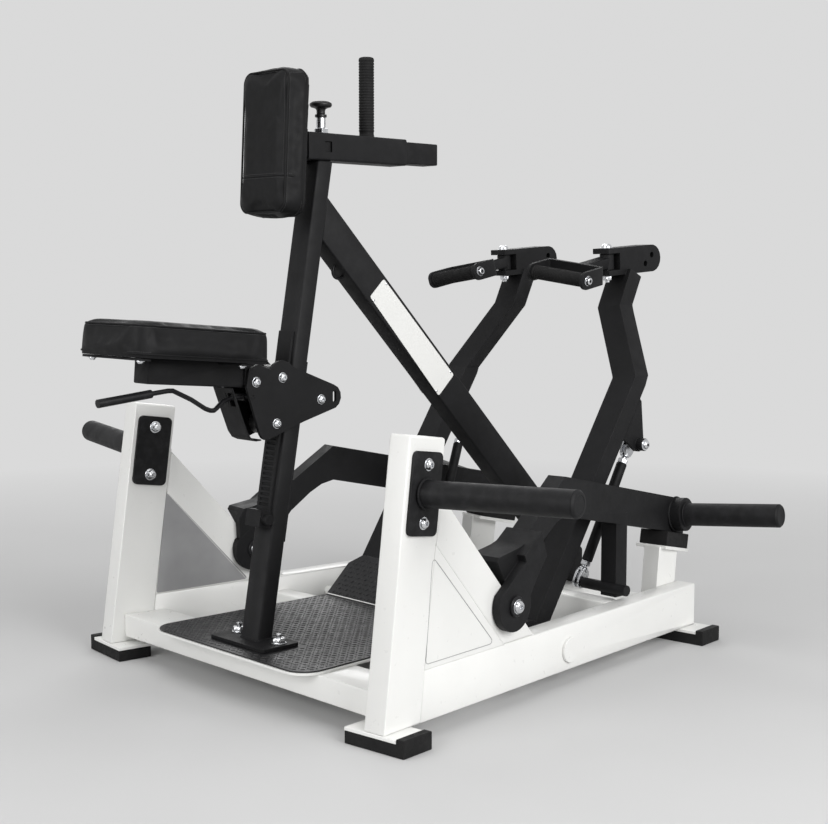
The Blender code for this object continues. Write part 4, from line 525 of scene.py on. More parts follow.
def resample(points, pitch, closed):
    """Evenly spaced points along a path."""
    count = len(points)
    steps = range(count if closed else count - 1)
    lengths = [(points[(index + 1) % count] - points[index]).length for index in steps]
    total = sum(lengths)
    parts = max(4, round(total / pitch))
    made = []
    along, index = 0.0, 0
    for step in range(parts if closed else parts + 1):
        goal = total * step / parts
        while index < len(lengths) - 1 and along + lengths[index] < goal:
            along += lengths[index]
            index += 1
        share = (goal - along) / max(lengths[index], 1e-9)
        made.append(points[index].lerp(points[(index + 1) % count], min(max(share, 0.0), 1.0)))
    return made


def rounded_outline(corners, radius, steps=6):
    """Corner points with each corner turned into an arc."""
    points = []
    for index, corner in enumerate(corners):
        here = Vector(corner)
        before = (Vector(corners[index - 1]) - here).normalized()
        after = (Vector(corners[(index + 1) % len(corners)]) - here).normalized()
        half = math.acos(max(-1.0, min(1.0, before.dot(after)))) / 2
        centre = here + (before + after).normalized() * (radius / math.sin(half))
        reach = radius / math.tan(half)
        first = here + before * reach - centre
        last = here + after * reach - centre
        turn = math.atan2(first.x * last.y - first.y * last.x, first.dot(last))
        for step in range(steps + 1):
            angle = turn * step / steps
            points.append((centre.x + first.x * math.cos(angle) - first.y * math.sin(angle),
                           centre.y + first.x * math.sin(angle) + first.y * math.cos(angle)))
    return points


def square(x_low, x_high, y_low, y_high):
    return [(x_low, y_low), (x_high, y_low), (x_high, y_high), (x_low, y_high)]


def button_head(shape, place, radius, height, washer):
    """A button head screw with a hexagon socket on its washer; the seat is at z 0."""
    low = 0.0016
    lathe(shape, [(0.0, 0.0), (washer, 0.0), (washer, 0.0011), (washer - 0.0005, low), (radius, low),
                  (radius, low + height * 0.25), (radius * 0.93, low + height * 0.55),
                  (radius * 0.76, low + height * 0.85), (radius * 0.55, low + height),
                  (radius * 0.34, low + height, 6), (radius * 0.33, 0.0014 + height * 0.45, 6),
                  (0.0, 0.0012 + height * 0.35)], place, 36)


def hex_nut(shape, place, radius=0.0095, height=0.0085, stud=0.004, bolt=0.006, washer=0.0135):
    """A hexagon nut on its washer with the end of its bolt; the seat is at z 0."""
    low = 0.0016
    top = low + height
    lathe(shape, [(0.0, 0.0), (washer, 0.0), (washer, 0.0011), (washer - 0.0005, low), (radius * 1.02, low),
                  (radius, low + 0.0008, 6), (radius, top - 0.0012, 6), (radius * 0.98, top),
                  (bolt + 0.0006, top), (bolt, top + 0.0004), (bolt, top + stud - 0.001),
                  (bolt - 0.001, top + stud), (0.0, top + stud)], place, 36)


def shank(shape, place, radius, reach):
    """A plain bolt shank, as long to either side of its place."""
    lathe(shape, [(0.0, -reach), (radius, -reach), (radius, reach), (0.0, reach)], place, 24)


def new_object(name, shape):
    """Turns a bmesh into an object of the scene."""
    mesh = bpy.data.meshes.new(name)
    shape.to_mesh(mesh)
    shape.free()
    made = bpy.data.objects.new(name, mesh)
    bpy.context.scene.collection.objects.link(made)
    return made


def piece(name, shape, look, body, nodes=(), bevel=0.0, sharp=35, twin=False):
    """Turns a bmesh into a named piece that rides on a body; twin adds its mirror image."""
    for suffix in ("_right", "_left") if twin else ("",):
        work = shape.copy()
        if suffix == "_left":
            work.transform(MIRROR)
        bmesh.ops.recalc_face_normals(work, faces=work.faces)
        own_body = body + suffix if body + suffix in frame["bodies"] else body
        own_nodes = [node + suffix for node in nodes]
        dress(new_object(name + suffix, work), look, own_body, own_nodes, bevel, sharp)
    shape.free()


def dress(made, look, body, nodes=(), bevel=0.0, sharp=35):
    """Gives an object its material, smooth shading, rounded edges and body."""
    mesh = made.data
    mesh.materials.clear()
    mesh.materials.append(look[0])
    mesh.shade_smooth()
    mesh.set_sharp_from_angle(angle=math.radians(sharp))
    if bevel:
        soft = made.modifiers.new("rounded edges", "BEVEL")
        soft.width = bevel
        soft.segments = 2
        soft.limit_method = "ANGLE"
        soft.angle_limit = math.radians(sharp)
        soft.use_clamp_overlap = False
        soft.harden_normals = True
    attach(made, body)
    if nodes:
        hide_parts(*nodes)


def dressed_node(node, look, bevel):
    """A fine copy of a CAD node: its seams welded, flat faces merged and edges rounded."""
    work = bmesh.new()
    work.from_mesh(frame["nodes"][node].data)
    bmesh.ops.remove_doubles(work, verts=work.verts, dist=0.00002)
    bmesh.ops.dissolve_limit(work, angle_limit=math.radians(0.6), verts=work.verts, edges=work.edges)
    bmesh.ops.recalc_face_normals(work, faces=work.faces)
    dress(new_object("fine_" + node, work), look, BODY_OF[node], [node], bevel, 38)


def both(*names):
    return [name + side for name in names for side in ("_right", "_left")]


def facing(point):
    """A placement at a point whose z runs along X."""
    return placed(point, (0.0, 1.0, 0.0), (0.0, 0.0, 1.0))


def line_meet(point, way, other, other_way):
    """Where two flat lines cross."""
    cross = way[0] * other_way[1] - way[1] * other_way[0]
    reach = ((other[0] - point[0]) * other_way[1] - (other[1] - point[1]) * other_way[0]) / cross
    return (point[0] + way[0] * reach, point[1] + way[1] * reach)


# Frame, bars and other plain nodes: fine copies with rounded edges
PLAIN = (
    (WHITE, 0.0010, (*both("side_rail", "upright", "brace"), "front_cross_tube", "mid_cross_tube",
                     "rear_cross_tube", "foot_rest_carrier", "foot_tray", "lever_axle")),
    (BLACK, 0.0009, (*both("lever", "stirrup", "load_arm", "carriage_plate"), "column", "spine",
                     "height_rack", "top_box", "pad_slide_tube", "pad_plate", "seat_tube", "carriage_guard")),
    (SATIN, 0.0004, ("release_lever",)),
    (RUBBER, 0.0022, both("rubber_foot_front", "rubber_foot_rear", "stop_bumper")),
    (TREAD, 0.0006, ("tread_plate",)))
for look, bevel, nodes in PLAIN:
    for node in nodes:
        dressed_node(node, look, bevel)


# Storage horns: sleeve with a plug in its end, welded to the outer plate; inner plate and bolts
level = math.cos(HORN_TILT)
horn_way = Vector((math.sin(HORN_TURN) * level, math.sin(HORN_TILT), math.cos(HORN_TURN) * level))
horn_way = RAIL.to_3x3() @ horn_way
horn_side = Vector((0.0, 0.0, 1.0)).cross(horn_way)
plate_low, plate_high, plate_width, plate_thick = HORN_PLATE
plate_middle = POST @ Vector((POST_DEPTH / 2, (plate_low + plate_high) / 2, plate_thick / 2))
HORN = placed(plate_middle, horn_side, horn_way.cross(horn_side))


def horn_profile(radius, foot, top):
    """A weight sleeve: chamfered end with a plastic plug set into it."""
    return [(0.0, foot), (radius, foot), (radius, top - 0.0055), (radius - 0.0008, top - 0.0050),
            (radius - 0.0008, top - 0.0044), (radius, top - 0.0040), (radius - 0.0030, top - 0.0006),
            (radius - 0.0040, top), (radius - 0.0085, top), (radius - 0.0092, top - 0.0006),
            (0.0, top - 0.0006)]


def ring_bead(shape, place, radius, thick, count=150):
    """A weld bead round a tube."""
    angles = [math.tau * index / count for index in range(count)]
    ring = [place @ Vector((radius * math.cos(angle), radius * math.sin(angle), 0.0)) for angle in angles]
    tube(shape, ring, thick, 8, True, BEAD_WAVE)


work = bmesh.new()
lathe(work, horn_profile(HORN_RADIUS, 0.0, HORN_LENGTH), HORN, 96)
ring_bead(work, moved(HORN, z=0.0050), HORN_RADIUS + 0.0015, 0.0030)
clamp = rounded_outline(square(POST_DEPTH / 2 - plate_width / 2, POST_DEPTH / 2 + plate_width / 2,
                               plate_low, plate_high), 0.012)
outer_seat = plate_thick + SKIN
inner_seat = -RAIL_WIDTH - plate_thick - SKIN
prism(work, clamp, SKIN, outer_seat, POST)
prism(work, clamp, inner_seat, -RAIL_WIDTH - SKIN, POST)
piece("storage_horn_sleeve", work, BLACK, "frame", ["storage_horn"], twin=True)
work = bmesh.new()
for row in HORN_ROWS:
    button_head(work, moved(POST, POST_DEPTH / 2, row, outer_seat), *HORN_SCREW)
    hex_nut(work, flipped(moved(POST, POST_DEPTH / 2, row, inner_seat)))
piece("storage_horn_bolt", work, CHROME, "frame", twin=True)

# Load horns with their collars
back = ARM_BAR - LOAD_HORN_BACK
bar_middle = -back * math.tan(ARM_FALL) - ARM_DEPTH / math.cos(ARM_FALL) / 2
load_way = BAR.to_3x3() @ Vector((0.0, math.sin(LOAD_HORN_TILT), math.cos(LOAD_HORN_TILT)))
bar_rear = BAR.to_3x3() @ Vector((1.0, 0.0, 0.0))
LOAD = placed(BAR @ Vector((back, bar_middle, 0.0)), bar_rear, load_way.cross(bar_rear))
collar_top = ARM_WIDTH / 2 + LOAD_COLLAR[1]
horn_foot = collar_top + SKIN
work = bmesh.new()
lathe(work, horn_profile(LOAD_HORN_RADIUS, horn_foot, horn_foot + LOAD_HORN_LENGTH), LOAD, 96)
ring_bead(work, moved(LOAD, z=collar_top + 0.0022), LOAD_HORN_RADIUS + 0.0010, 0.0022)
piece("load_horn_sleeve", work, BLACK, "load_arm", ["load_horn"], twin=True)
work = bmesh.new()
ring_bead(work, moved(LOAD, z=ARM_WIDTH / 2 + 0.0015), LOAD_COLLAR[0] + 0.0008, 0.0026, 200)
piece("load_collar_weld", work, BLACK, "load_arm", twin=True)

# Pivot bolts of the load arms
work = bmesh.new()
for seat in ends(ARM, LUG_FACE + 0.0006):
    lathe(work, [(0.0, 0.0), (0.0215, 0.0), (0.0215, 0.0036), (0.0200, 0.0052), (0.0, 0.0052)], seat, 48)
piece("arm_pivot_hub", work, SATIN, "frame", twin=True)
work = bmesh.new()
for seat in ends(ARM, LUG_FACE + 0.0057):
    button_head(work, seat, *ARM_SCREW)
shank(work, ARM, ARM_SHANK_RADIUS, LUG_FACE)
piece("arm_pivot_screw", work, CHROME, "frame", ["arm_pivot_bolt"], twin=True)

# Swivel bolts through the lever heads
work = bmesh.new()
above, below = ends(HEAD_UP, HEAD_HEIGHT / 2 + 0.0002)
button_head(work, above, *SWIVEL_SCREW)
hex_nut(work, below, 0.0105, 0.0095, 0.006)
shank(work, HEAD_UP, SHANK_RADIUS, HEAD_HEIGHT / 2)
piece("swivel_screw", work, CHROME, "lever", ["swivel_bolt"], twin=True)

# Grips: ribbed rubber between two flanges, turning on a pin
work = bmesh.new()
grip_at = moved(STIRRUP, x=GRIP_AXIS)
profile = [(0.0066, -GRIP_HALF), (GRIP_RADIUS, -GRIP_HALF), (GRIP_RADIUS, -GRIP_HALF + 0.004),
           (GRIP_RADIUS - 0.0022, -GRIP_HALF + 0.0052)]
count = int((2 * GRIP_HALF - 0.014) / RIB_PITCH)
start = -count * RIB_PITCH / 2
for index in range(count):
    foot = start + index * RIB_PITCH
    for share, drop in ((0.10, 0.0017), (0.25, 0.0006), (0.45, 0.0003), (0.65, 0.0006), (0.80, 0.0017)):
        profile.append((GRIP_RADIUS - drop, foot + share * RIB_PITCH))
profile += [(GRIP_RADIUS - 0.0022, GRIP_HALF - 0.0052), (GRIP_RADIUS, GRIP_HALF - 0.004),
            (GRIP_RADIUS, GRIP_HALF), (0.0066, GRIP_HALF)]
lathe(work, profile, grip_at, 48)
piece("grip_sleeve", work, GRIP, "grip", ["grip"], sharp=50, twin=True)
work = bmesh.new()
for seat in ends(grip_at, EAR_FACE):
    button_head(work, seat, *GRIP_SCREW)
piece("grip_pin_head", work, CHROME, "handle", twin=True)

# Links: black tube between chrome forks, with lock nuts
low = WORK @ Vector(LINK_LOW)
high = WORK @ Vector(LINK_HIGH)
way = (high - low).normalized()
link_length = (high - low).length
link_x = (Vector((1.0, 0.0, 0.0)) - way * way.x).normalized()
LINK = placed(low, link_x, way.cross(link_x))
work = bmesh.new()
lathe(work, [(0.0, FORK), (0.0112, FORK), (0.0125, FORK + 0.0014), (0.0125, link_length - FORK - 0.0014),
             (0.0112, link_length - FORK), (0.0, link_length - FORK)], LINK, 40)
piece("link_tube", work, BLACK, "link", ["link"], twin=True)
work = bmesh.new()
for base, sign in ((LINK, 1), (moved(LINK, z=link_length), -1)):
    along = base.to_3x3() @ Vector((0.0, 0.0, sign))
    across = base.to_3x3() @ Vector((0.0, 1.0, 0.0))
    cheek = placed(base.translation, along, across)
    outline = [(0.0143 * math.cos(math.radians(angle)), 0.0143 * math.sin(math.radians(angle)))
               for angle in range(90, 271, 15)]
    outline += [(0.020, -0.0143), (0.031, -0.0100), (0.031, 0.0100), (0.020, 0.0143)]
    prism(work, outline, 0.0042, 0.0096, cheek)
    prism(work, outline, -0.0096, -0.0042, cheek)
    stem = placed(base.translation, across, along.cross(across))
    lathe(work, [(0.0, 0.0245), (0.0096, 0.0245), (0.0112, 0.0262), (0.0112, 0.0335), (0.0085, 0.0352),
                 (0.0065, 0.0360), (0.0065, 0.0400), (0.0100, 0.0402), (0.0108, 0.0410, 6),
                 (0.0108, 0.0505, 6), (0.0100, 0.0516), (0.0, 0.0516)], stem, 36)
piece("link_fork", work, STEEL, "link", bevel=0.0006, twin=True)
work = bmesh.new()
boss = facing(WORK @ Vector((LEVER_OUTER + LEVER_BOSS, LINK_HIGH[1], LINK_HIGH[2])))
button_head(work, moved(boss, z=0.0001), *LINK_SCREW)
piece("link_boss_screw", work, CHROME, "lever", twin=True)


# Rollers, their bolts and the seat bolt
def roller(name):
    """A flanged wheel with a bore, as wide and as large as its CAD node."""
    low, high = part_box(name)
    radius = (high[2] - low[2]) / 2
    half = (high[0] - low[0]) / 2
    flank = [(0.0105, half), (0.0112, half - 0.0012), (radius - 0.0060, half - 0.0012),
             (radius - 0.0052, half), (radius - 0.0022, half), (radius, half - 0.0022), (radius, 0.0012)]
    other = [(reach, -height) for reach, height in reversed(flank)]
    profile = [(0.0065, half), *flank, (radius - 0.0012, 0.0), *other, (0.0065, -half), (0.0065, half)]
    shape = bmesh.new()
    lathe(shape, profile, facing(centre_of(name)), 64)
    piece(name + "_wheel", shape, NYLON, name, [name])


for name in ("upper_roller", "lower_roller", "rear_roller"):
    roller(name)
for name in ("upper_roller_bolt", "lower_roller_bolt", "rear_roller_bolt", "seat_bolt"):
    middle = centre_of(name)
    across = facing((0.0, middle.y, middle.z))
    right, left = ends(across, PLATE_FACE + 0.0002)
    work = bmesh.new()
    button_head(work, right, *CARRIAGE_SCREW)
    hex_nut(work, left)
    shank(work, across, SHANK_RADIUS, PLATE_FACE)
    piece(name.replace("bolt", "screw"), work, CHROME, "seat_carriage", [name])

# Pull pin and its barrel on the top box
low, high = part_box("pin_barrel")
barrel = Matrix.Translation((0.0, centre_of("pin_barrel").y, low[2]))
tall = high[2] - low[2]
work = bmesh.new()
lathe(work, [(0.0056, 0.0), (0.0138, 0.0, 6), (0.0138, 0.0100, 6), (0.0118, 0.0112), (0.0100, 0.0118),
             (0.0100, tall - 0.0010), (0.0090, tall), (0.0056, tall), (0.0056, 0.0)], barrel, 48)
piece("pin_barrel_nut", work, STEEL, "frame", ["pin_barrel"], bevel=0.0004)
low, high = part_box("pull_pin")
pin = Matrix.Translation((0.0, centre_of("pull_pin").y, 0.0))
knob = high[2]
work = bmesh.new()
KNOB = ((0.0, 0.0), (0.0130, 0.0), (0.0195, 0.0014), (0.0230, 0.0040), (0.0240, 0.0065), (0.0238, 0.0095),
        (0.0215, 0.0125), (0.0160, 0.0140), (0.0110, 0.0160), (0.0092, 0.0200), (0.0092, 0.0260),
        (0.0126, 0.0285), (0.0126, 0.0335), (0.0048, 0.0337))
profile = [(radius, knob - drop) for radius, drop in KNOB]
lathe(work, profile + [(0.0048, low[2] + 0.001), (0.0038, low[2]), (0.0, low[2])], pin, 64)
piece("pull_pin_knob", work, NYLON, "pull_pin", ["pull_pin"], sharp=50)

# Grip post with its sleeve and cap
low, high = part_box("grip_post")
post = Matrix.Translation((0.0, centre_of("grip_post").y, 0.0))
reach = (high[0] - low[0]) / 2
work = bmesh.new()
profile = [(0.0, low[2]), (reach, low[2]), (reach, low[2] + 0.004), (reach - 0.0010, low[2] + 0.005)]
foot = low[2] + 0.012
while foot < high[2] - 0.016:
    profile += [(reach - 0.0010, foot), (reach - 0.0001, foot + 0.0008), (reach - 0.0001, foot + 0.0036),
                (reach - 0.0010, foot + 0.0044)]
    foot += SLEEVE_RIB_PITCH
profile += [(reach - 0.0010, high[2] - 0.010), (reach, high[2] - 0.009), (reach, high[2] - 0.005),
            (reach - 0.0014, high[2] - 0.0016), (reach - 0.0050, high[2]), (0.0, high[2])]
lathe(work, profile, post, 64)
piece("grip_post_sleeve", work, GRIP, "frame", ["grip_post"], sharp=50)


# Tread: lens shaped bars at 45 degrees, turned over from one to the next
def lens_bar(shape, place, turn):
    """A raised bar with pointed ends and a softly rounded top."""
    shares = (-1.0, -0.72, -0.36, 0.0, 0.36, 0.72, 1.0)
    rings = []
    for share in shares:
        half = BAR_WIDTH / 2 * (1.0 - share * share)
        x = share * BAR_LENGTH / 2
        lift = BAR_RISE * 0.78 * (1.0 - share ** 4)
        section = ((-half, -0.0002), (-half * 0.62, lift), (half * 0.62, lift), (half, -0.0002))
        rings.append([Matrix.Rotation(turn, 4, "Z") @ Vector((x, *spot)) for spot in section])
    tips = (shape.verts.new(place @ rings[0][0]), shape.verts.new(place @ rings[-1][0]))
    middle = [[shape.verts.new(place @ spot) for spot in ring] for ring in rings[1:-1]]
    for step in range(4):
        after = (step + 1) % 4
        shape.faces.new((tips[0], middle[0][after], middle[0][step]))
        shape.faces.new((tips[1], middle[-1][step], middle[-1][after]))
    for lower, upper in zip(middle, middle[1:]):
        bridge(shape, lower, upper)


def on_sheet(x, y):
    """Whether a bar fits on the flat sheet, off its round corners and the column's base."""
    half = TREAD_HALF[0] + (TREAD_HALF[1] - TREAD_HALF[0]) * (y - TREAD_FRONT) / TREAD_LENGTH
    if abs(x) > half or not TREAD_FRONT < y < SHEET_END:
        return False
    inset, corner_y, reach = SHEET_CORNER
    out = abs(x) - half + inset
    if out > 0.0 and y < corner_y and math.hypot(out, corner_y - y) > reach:
        return False
    base_half, base_front, base_rear = BASE_CLEAR
    return not (abs(x) < base_half and base_front < y < base_rear)


def on_rest(x, y):
    """Whether a bar fits on the foot rest, whose upper corners are cut."""
    return abs(x) < REST_HALF - max(0.0, y - REST_CUT)


def tread_rows(shape, place, left, right, front, rear, fits):
    """Rows of bars between four edges, each bar turned the other way from its neighbours."""
    row = 0
    y = front
    while y < rear:
        column = 0
        x = left
        while x < right:
            if fits(x, y):
                lens_bar(shape, moved(place, x, y), math.radians(45 if (row + column) % 2 else -45))
            x += TREAD_PITCH
            column += 1
        y += TREAD_PITCH
        row += 1


REST = WORK @ placed((0.0, *REST_FOOT), (1.0, 0.0, 0.0), (0.0, math.cos(REST_SLOPE), math.sin(REST_SLOPE)))
work = bmesh.new()
tread_rows(work, moved(WORK, z=TRAY_DECK - 0.0001), -0.2625, 0.265, 0.0, SHEET_END, on_sheet)
tread_rows(work, moved(REST, z=0.0029), -0.2375, 0.2385, 0.0125, 0.124, on_rest)
piece("tread_bars", work, TREAD, "frame")

# Thin white trim where the tread bends up
work = bmesh.new()
bend = [REST @ Vector((x, 0.0042, 0.0030)) for x in (-0.2425, 0.2425)]
tube(work, line_points(*bend, 0.02), 0.0014)
piece("tread_trim", work, WHITE, "frame")

# Grey panels inside the gussets, painted shade on their white inner side; welds, seams and a thin border line
# outside
work = bmesh.new()
prism(work, rounded_outline(GUSSET_SHADE_OUTLINE, 0.004), -0.0511, -0.0503, RAIL)
piece("gusset_painted_shade", work, SHADE_AND_LINE_GREY, "frame", twin=True)

upright_foot = POST_DEPTH / math.cos(POST_LEAN)
slope = math.tan(POST_LEAN)
along = (math.cos(BRACE_FALL), -math.sin(BRACE_FALL))
inwards = (-math.sin(BRACE_FALL), -math.cos(BRACE_FALL))
front_edge = (BRACE_REAR[0] + inwards[0] * BRACE_DEPTH, BRACE_REAR[1] + inwards[1] * BRACE_DEPTH)
post_face = ((upright_foot + 0.0006, 0.0), (slope, 1.0))
rail_face = ((0.0, 0.1018), (1.0, 0.0))


def across_line(shape, spot, radius=SEAM_BEAD):
    """A weld bead across a rail's width."""
    outer, inner = (RAIL @ Vector((*spot, depth)) for depth in (-0.0035, -RAIL_WIDTH + 0.0035))
    tube(shape, line_points(outer, inner), radius, wave=BEAD_WAVE)


work = bmesh.new()
brace_top = line_meet(BRACE_REAR, along, *post_face)
brace_low = line_meet(BRACE_REAR, along, *rail_face)
across_line(work, (brace_top[0] + 0.0006, brace_top[1] + 0.0008))
across_line(work, (brace_low[0] + 0.0008, brace_low[1] + 0.0004))
across_line(work, (upright_foot + 0.1016 * slope + 0.0001, 0.1020), 0.0012)
piece("brace_weld", work, WHITE, "frame", twin=True)
work = bmesh.new()
meet_top = line_meet(front_edge, along, *post_face)
meet_low = line_meet(front_edge, along, *rail_face)
for depth in (-0.0006, -RAIL_WIDTH + 0.0006):
    seam = line_points(RAIL @ Vector((*meet_top, depth)), RAIL @ Vector((*meet_low, depth)))
    tube(work, seam, FINE_BEAD)
piece("gusset_seam", work, WHITE, "frame", twin=True)
work = bmesh.new()
border = [RAIL @ Vector((x, y, -0.0004)) for x, y in rounded_outline(GUSSET_BORDER, 0.006)]
tube(work, resample(border, 0.006, True), 0.0008, 6, True)
piece("gusset_border", work, SHADE_AND_LINE_GREY, "frame", twin=True)

# Plain white plates on both faces of the spine, each held by four rivets
face = WORK @ placed((SPINE_HALF + 0.0002, 0.0, 0.0), (0.0, 1.0, 0.0), (0.0, 0.0, 1.0))
work = bmesh.new()
prism(work, rounded_outline(SPINE_PLATE, 0.005), 0.0, 0.0010, face)
piece("spine_plate", work, WHITE, "frame", bevel=0.0003, twin=True)
work = bmesh.new()
centre = sum((Vector(corner) for corner in SPINE_PLATE), Vector((0.0, 0.0))) / 4
for corner in SPINE_PLATE:
    spot = centre + (Vector(corner) - centre) * RIVET_INSET
    lathe(work, [(0.0, 0.0008), (0.0030, 0.0008), (0.0028, 0.0016), (0.0016, 0.0023), (0.0, 0.0025)],
          moved(face, spot.x, spot.y), 20)
piece("spine_rivets", work, STEEL, "frame", twin=True)

# Small hook under the spine
work = bmesh.new()
points = [WORK @ Vector((0.0, y, z)) for y, z in HOOK]
smooth = []
for index in range(len(points) - 1):
    first, second = points[index], points[index + 1]
    before = points[max(index - 1, 0)]
    after = points[min(index + 2, len(points) - 1)]
    slant = second - before
    bend = 2 * before - 5 * first + 4 * second - after
    twist = 3 * first - before - 3 * second + after
    for step in range(5):
        share = step / 5
        smooth.append(0.5 * (2 * first + slant * share + bend * share ** 2 + twist * share ** 3))
smooth.append(points[-1])
tube(work, smooth, 0.0032, 12)
piece("spine_hook", work, SATIN, "frame")

# Weld bead round the column's foot
work = bmesh.new()
lean = math.tan(COLUMN_LEAN)
deck = TRAY_DECK + 0.0083
ring = []
outline = rounded_outline(square(-0.030, 0.030, 0.0, 0.0416), 0.006)
for index, (x, y) in enumerate(outline):
    ahead = outline[(index + 1) % len(outline)]
    here = WORK @ Vector((x, COLUMN_Y + deck * lean + y, deck))
    there = WORK @ Vector((ahead[0], COLUMN_Y + deck * lean + ahead[1], deck))
    ring += line_points(here, there)[:-1]
tube(work, ring, 0.0026, 8, True, BEAD_WAVE)
piece("column_weld", work, BLACK, "frame")

# Nuts on the studs of the column's base
work = bmesh.new()
for side in (-1, 1):
    place = moved(WORK, side * 0.068, 0.086, deck)
    hex_nut(work, place, 0.0130, 0.0095, 0.0085, 0.0062, 0.0165)
piece("base_nuts", work, CHROME, "frame")

# Screws under the seat
work = bmesh.new()
for along_seat in (0.030, 0.268):
    for across in (-0.085, 0.085):
        place = SEAT @ placed((along_seat, -0.0753, across), (1.0, 0.0, 0.0), (0.0, 0.0, 1.0))
        button_head(work, place, *SEAT_SCREW)
piece("seat_screws", work, CHROME, "seat_carriage")


# Padded covers: blown up by a cloth simulation, with piping and seams laid on after
def cushion(place, length, width, thick, corner):
    """A closed pad whose sides pull in towards its edges; y is up out of its face at 0."""
    heights = [(-thick, 0.006), (-thick + 0.003, 0.0015), (-thick + 0.008, 0.0), (-thick * 0.5, 0.0),
               (-0.008, 0.0), (-0.003, 0.0015), (0.0, 0.006)]
    shape = bmesh.new()
    loops = []
    for height, pull in heights:
        inset = PAD_DRAW + pull
        outline = rounded_outline(square(inset, length - inset, -width / 2 + inset, width / 2 - inset),
                                  corner - inset * 0.5, 8)
        loops.append([shape.verts.new(place @ Vector((x, height - PAD_DRAW * (height > -thick / 2), z)))
                      for x, z in outline])
    for lower, upper in zip(loops, loops[1:]):
        bridge(shape, lower, upper)
    shape.faces.new(loops[0])
    shape.faces.new(loops[-1])
    bmesh.ops.recalc_face_normals(shape, faces=shape.faces)
    return shape


def applied(made):
    """The object's mesh with its modifiers' effect, as it stands now."""
    graph = bpy.context.evaluated_depsgraph_get()
    return bpy.data.meshes.new_from_object(made.evaluated_get(graph))


def settled(made):
    """Applies an object's modifiers for good and returns its new mesh."""
    mesh = applied(made)
    made.modifiers.clear()
    made.data = mesh
    return mesh


def blown(name, shape, place, thick, body, node):
    """Remeshes a pad, lets cloth under pressure swell it a little, and smooths it."""
    made = new_object(name, shape)
    remesh = made.modifiers.new("even mesh", "REMESH")
    remesh.mode = "VOXEL"
    remesh.voxel_size = VOXEL
    even = settled(made)
    flat = place.inverted()
    start = [vertex.co.copy() for vertex in even.vertices]
    swelled = start
    held = made.vertex_groups.new(name="held")
    under = [vertex.index for vertex in even.vertices if (flat @ vertex.co).y < -thick + 0.006]
    held.add(under, 1.0, "REPLACE")
    settings = made.modifiers.new("cloth", "CLOTH").settings
    for key, value in CLOTH.items():
        setattr(settings, key, value)
    settings.effector_weights.gravity = 0.0
    scene = bpy.context.scene
    for step in range(1, CLOTH_STEPS + 1):
        scene.frame_set(step)
    swollen = applied(made)
    swelled = [vertex.co.copy() for vertex in swollen.vertices]
    made.modifiers.clear()
    made.vertex_groups.clear()
    scene.frame_set(1)
    for vertex, first, last in zip(even.vertices, start, swelled):
        reach = last - first
        if reach.length > PAD_SWELL:
            reach = reach.normalized() * PAD_SWELL
        spot = flat @ (first + reach)
        spot.y = max(spot.y, -thick)
        vertex.co = place @ spot
    even.update()
    smooth = made.modifiers.new("settled", "SMOOTH")
    smooth.factor = 0.5
    smooth.iterations = 3
    made.modifiers.new("fine", "SUBSURF").levels = 1
    final = settled(made)
    for vertex in final.vertices:
        spot = flat @ vertex.co
        if spot.y < -thick + PAD_FLAT_EDGE:
            spot.y = -thick
            vertex.co = place @ spot
    dress(made, VINYL, body, [node])
    final.shade_smooth()
    return BVHTree.FromPolygons([vertex.co for vertex in final.vertices],
                                [tuple(polygon.vertices) for polygon in final.polygons])


def hit(tree, start, towards):
    """The pad's surface seen from a start point."""
    spot = tree.ray_cast(start, (towards - start).normalized())[0]
    return spot if spot is not None else towards


def edge_path(tree, place, length, width, corner, height, out):
    """A closed path round the pad's side at a height, on its surface."""
    outline = rounded_outline(square(0.0, length, -width / 2, width / 2), corner, 10)
    middle = Vector((length / 2, 0.0, 0.0))
    path = []
    for index, (x, z) in enumerate(outline):
        before, after = outline[index - 1], outline[(index + 1) % len(outline)]
        tangent = Vector((after[0] - before[0], 0.0, after[1] - before[1])).normalized()
        normal = Vector((tangent.z, 0.0, -tangent.x))
        spot = Vector((x, height, z))
        if (spot - middle).dot(normal) < 0:
            normal = -normal
        surface = hit(tree, place @ (spot + normal * 0.05), place @ (spot - normal * 0.05))
        path.append(surface + place.to_3x3() @ normal * out)
    return resample(path, PATH_PITCH, True)


def stitches(shape, path):
    """Short thread lengths lying along a path."""
    fine = resample(path, STITCH / 4, False)
    for index in range(0, len(fine) - 3, 4):
        tube(shape, fine[index:index + 3], THREAD_RADIUS, 6)


def pad(name, place, size, body, node):
    """A swollen cushion; returns its surface, and its edge piping and stitches to add to."""
    thick = size[2]
    tree = blown(name, cushion(place, *size), place, thick - 0.0005, body, node)
    outline = (size[0], size[1], size[3])
    piping = bmesh.new()
    for height in (-0.0085, -thick + 0.008):
        tube(piping, edge_path(tree, place, *outline, height, 0.0004), 0.0021, 10, True)
    sewn = bmesh.new()
    for height in (-0.0118, -thick + 0.0113):
        path = edge_path(tree, place, *outline, height, 0.0001)
        stitches(sewn, path + path[:1])
    return tree, piping, sewn


_, piping, sewn = pad("seat_cushion", SEAT, SEAT_SIZE, "seat_carriage", "seat_pad")
piece("seat_piping", piping, VINYL, "seat_carriage")
piece("seat_stitches", sewn, THREAD, "seat_carriage")

PAD = moved(tilted((0.0, *PAD_MIDDLE), math.pi / 2 - PAD_LEAN), -PAD_SIZE[0] / 2, PAD_SIZE[2] / 2)
pad_tree, piping, sewn = pad("chest_cushion", PAD, PAD_SIZE, "pad_carrier", "chest_pad")


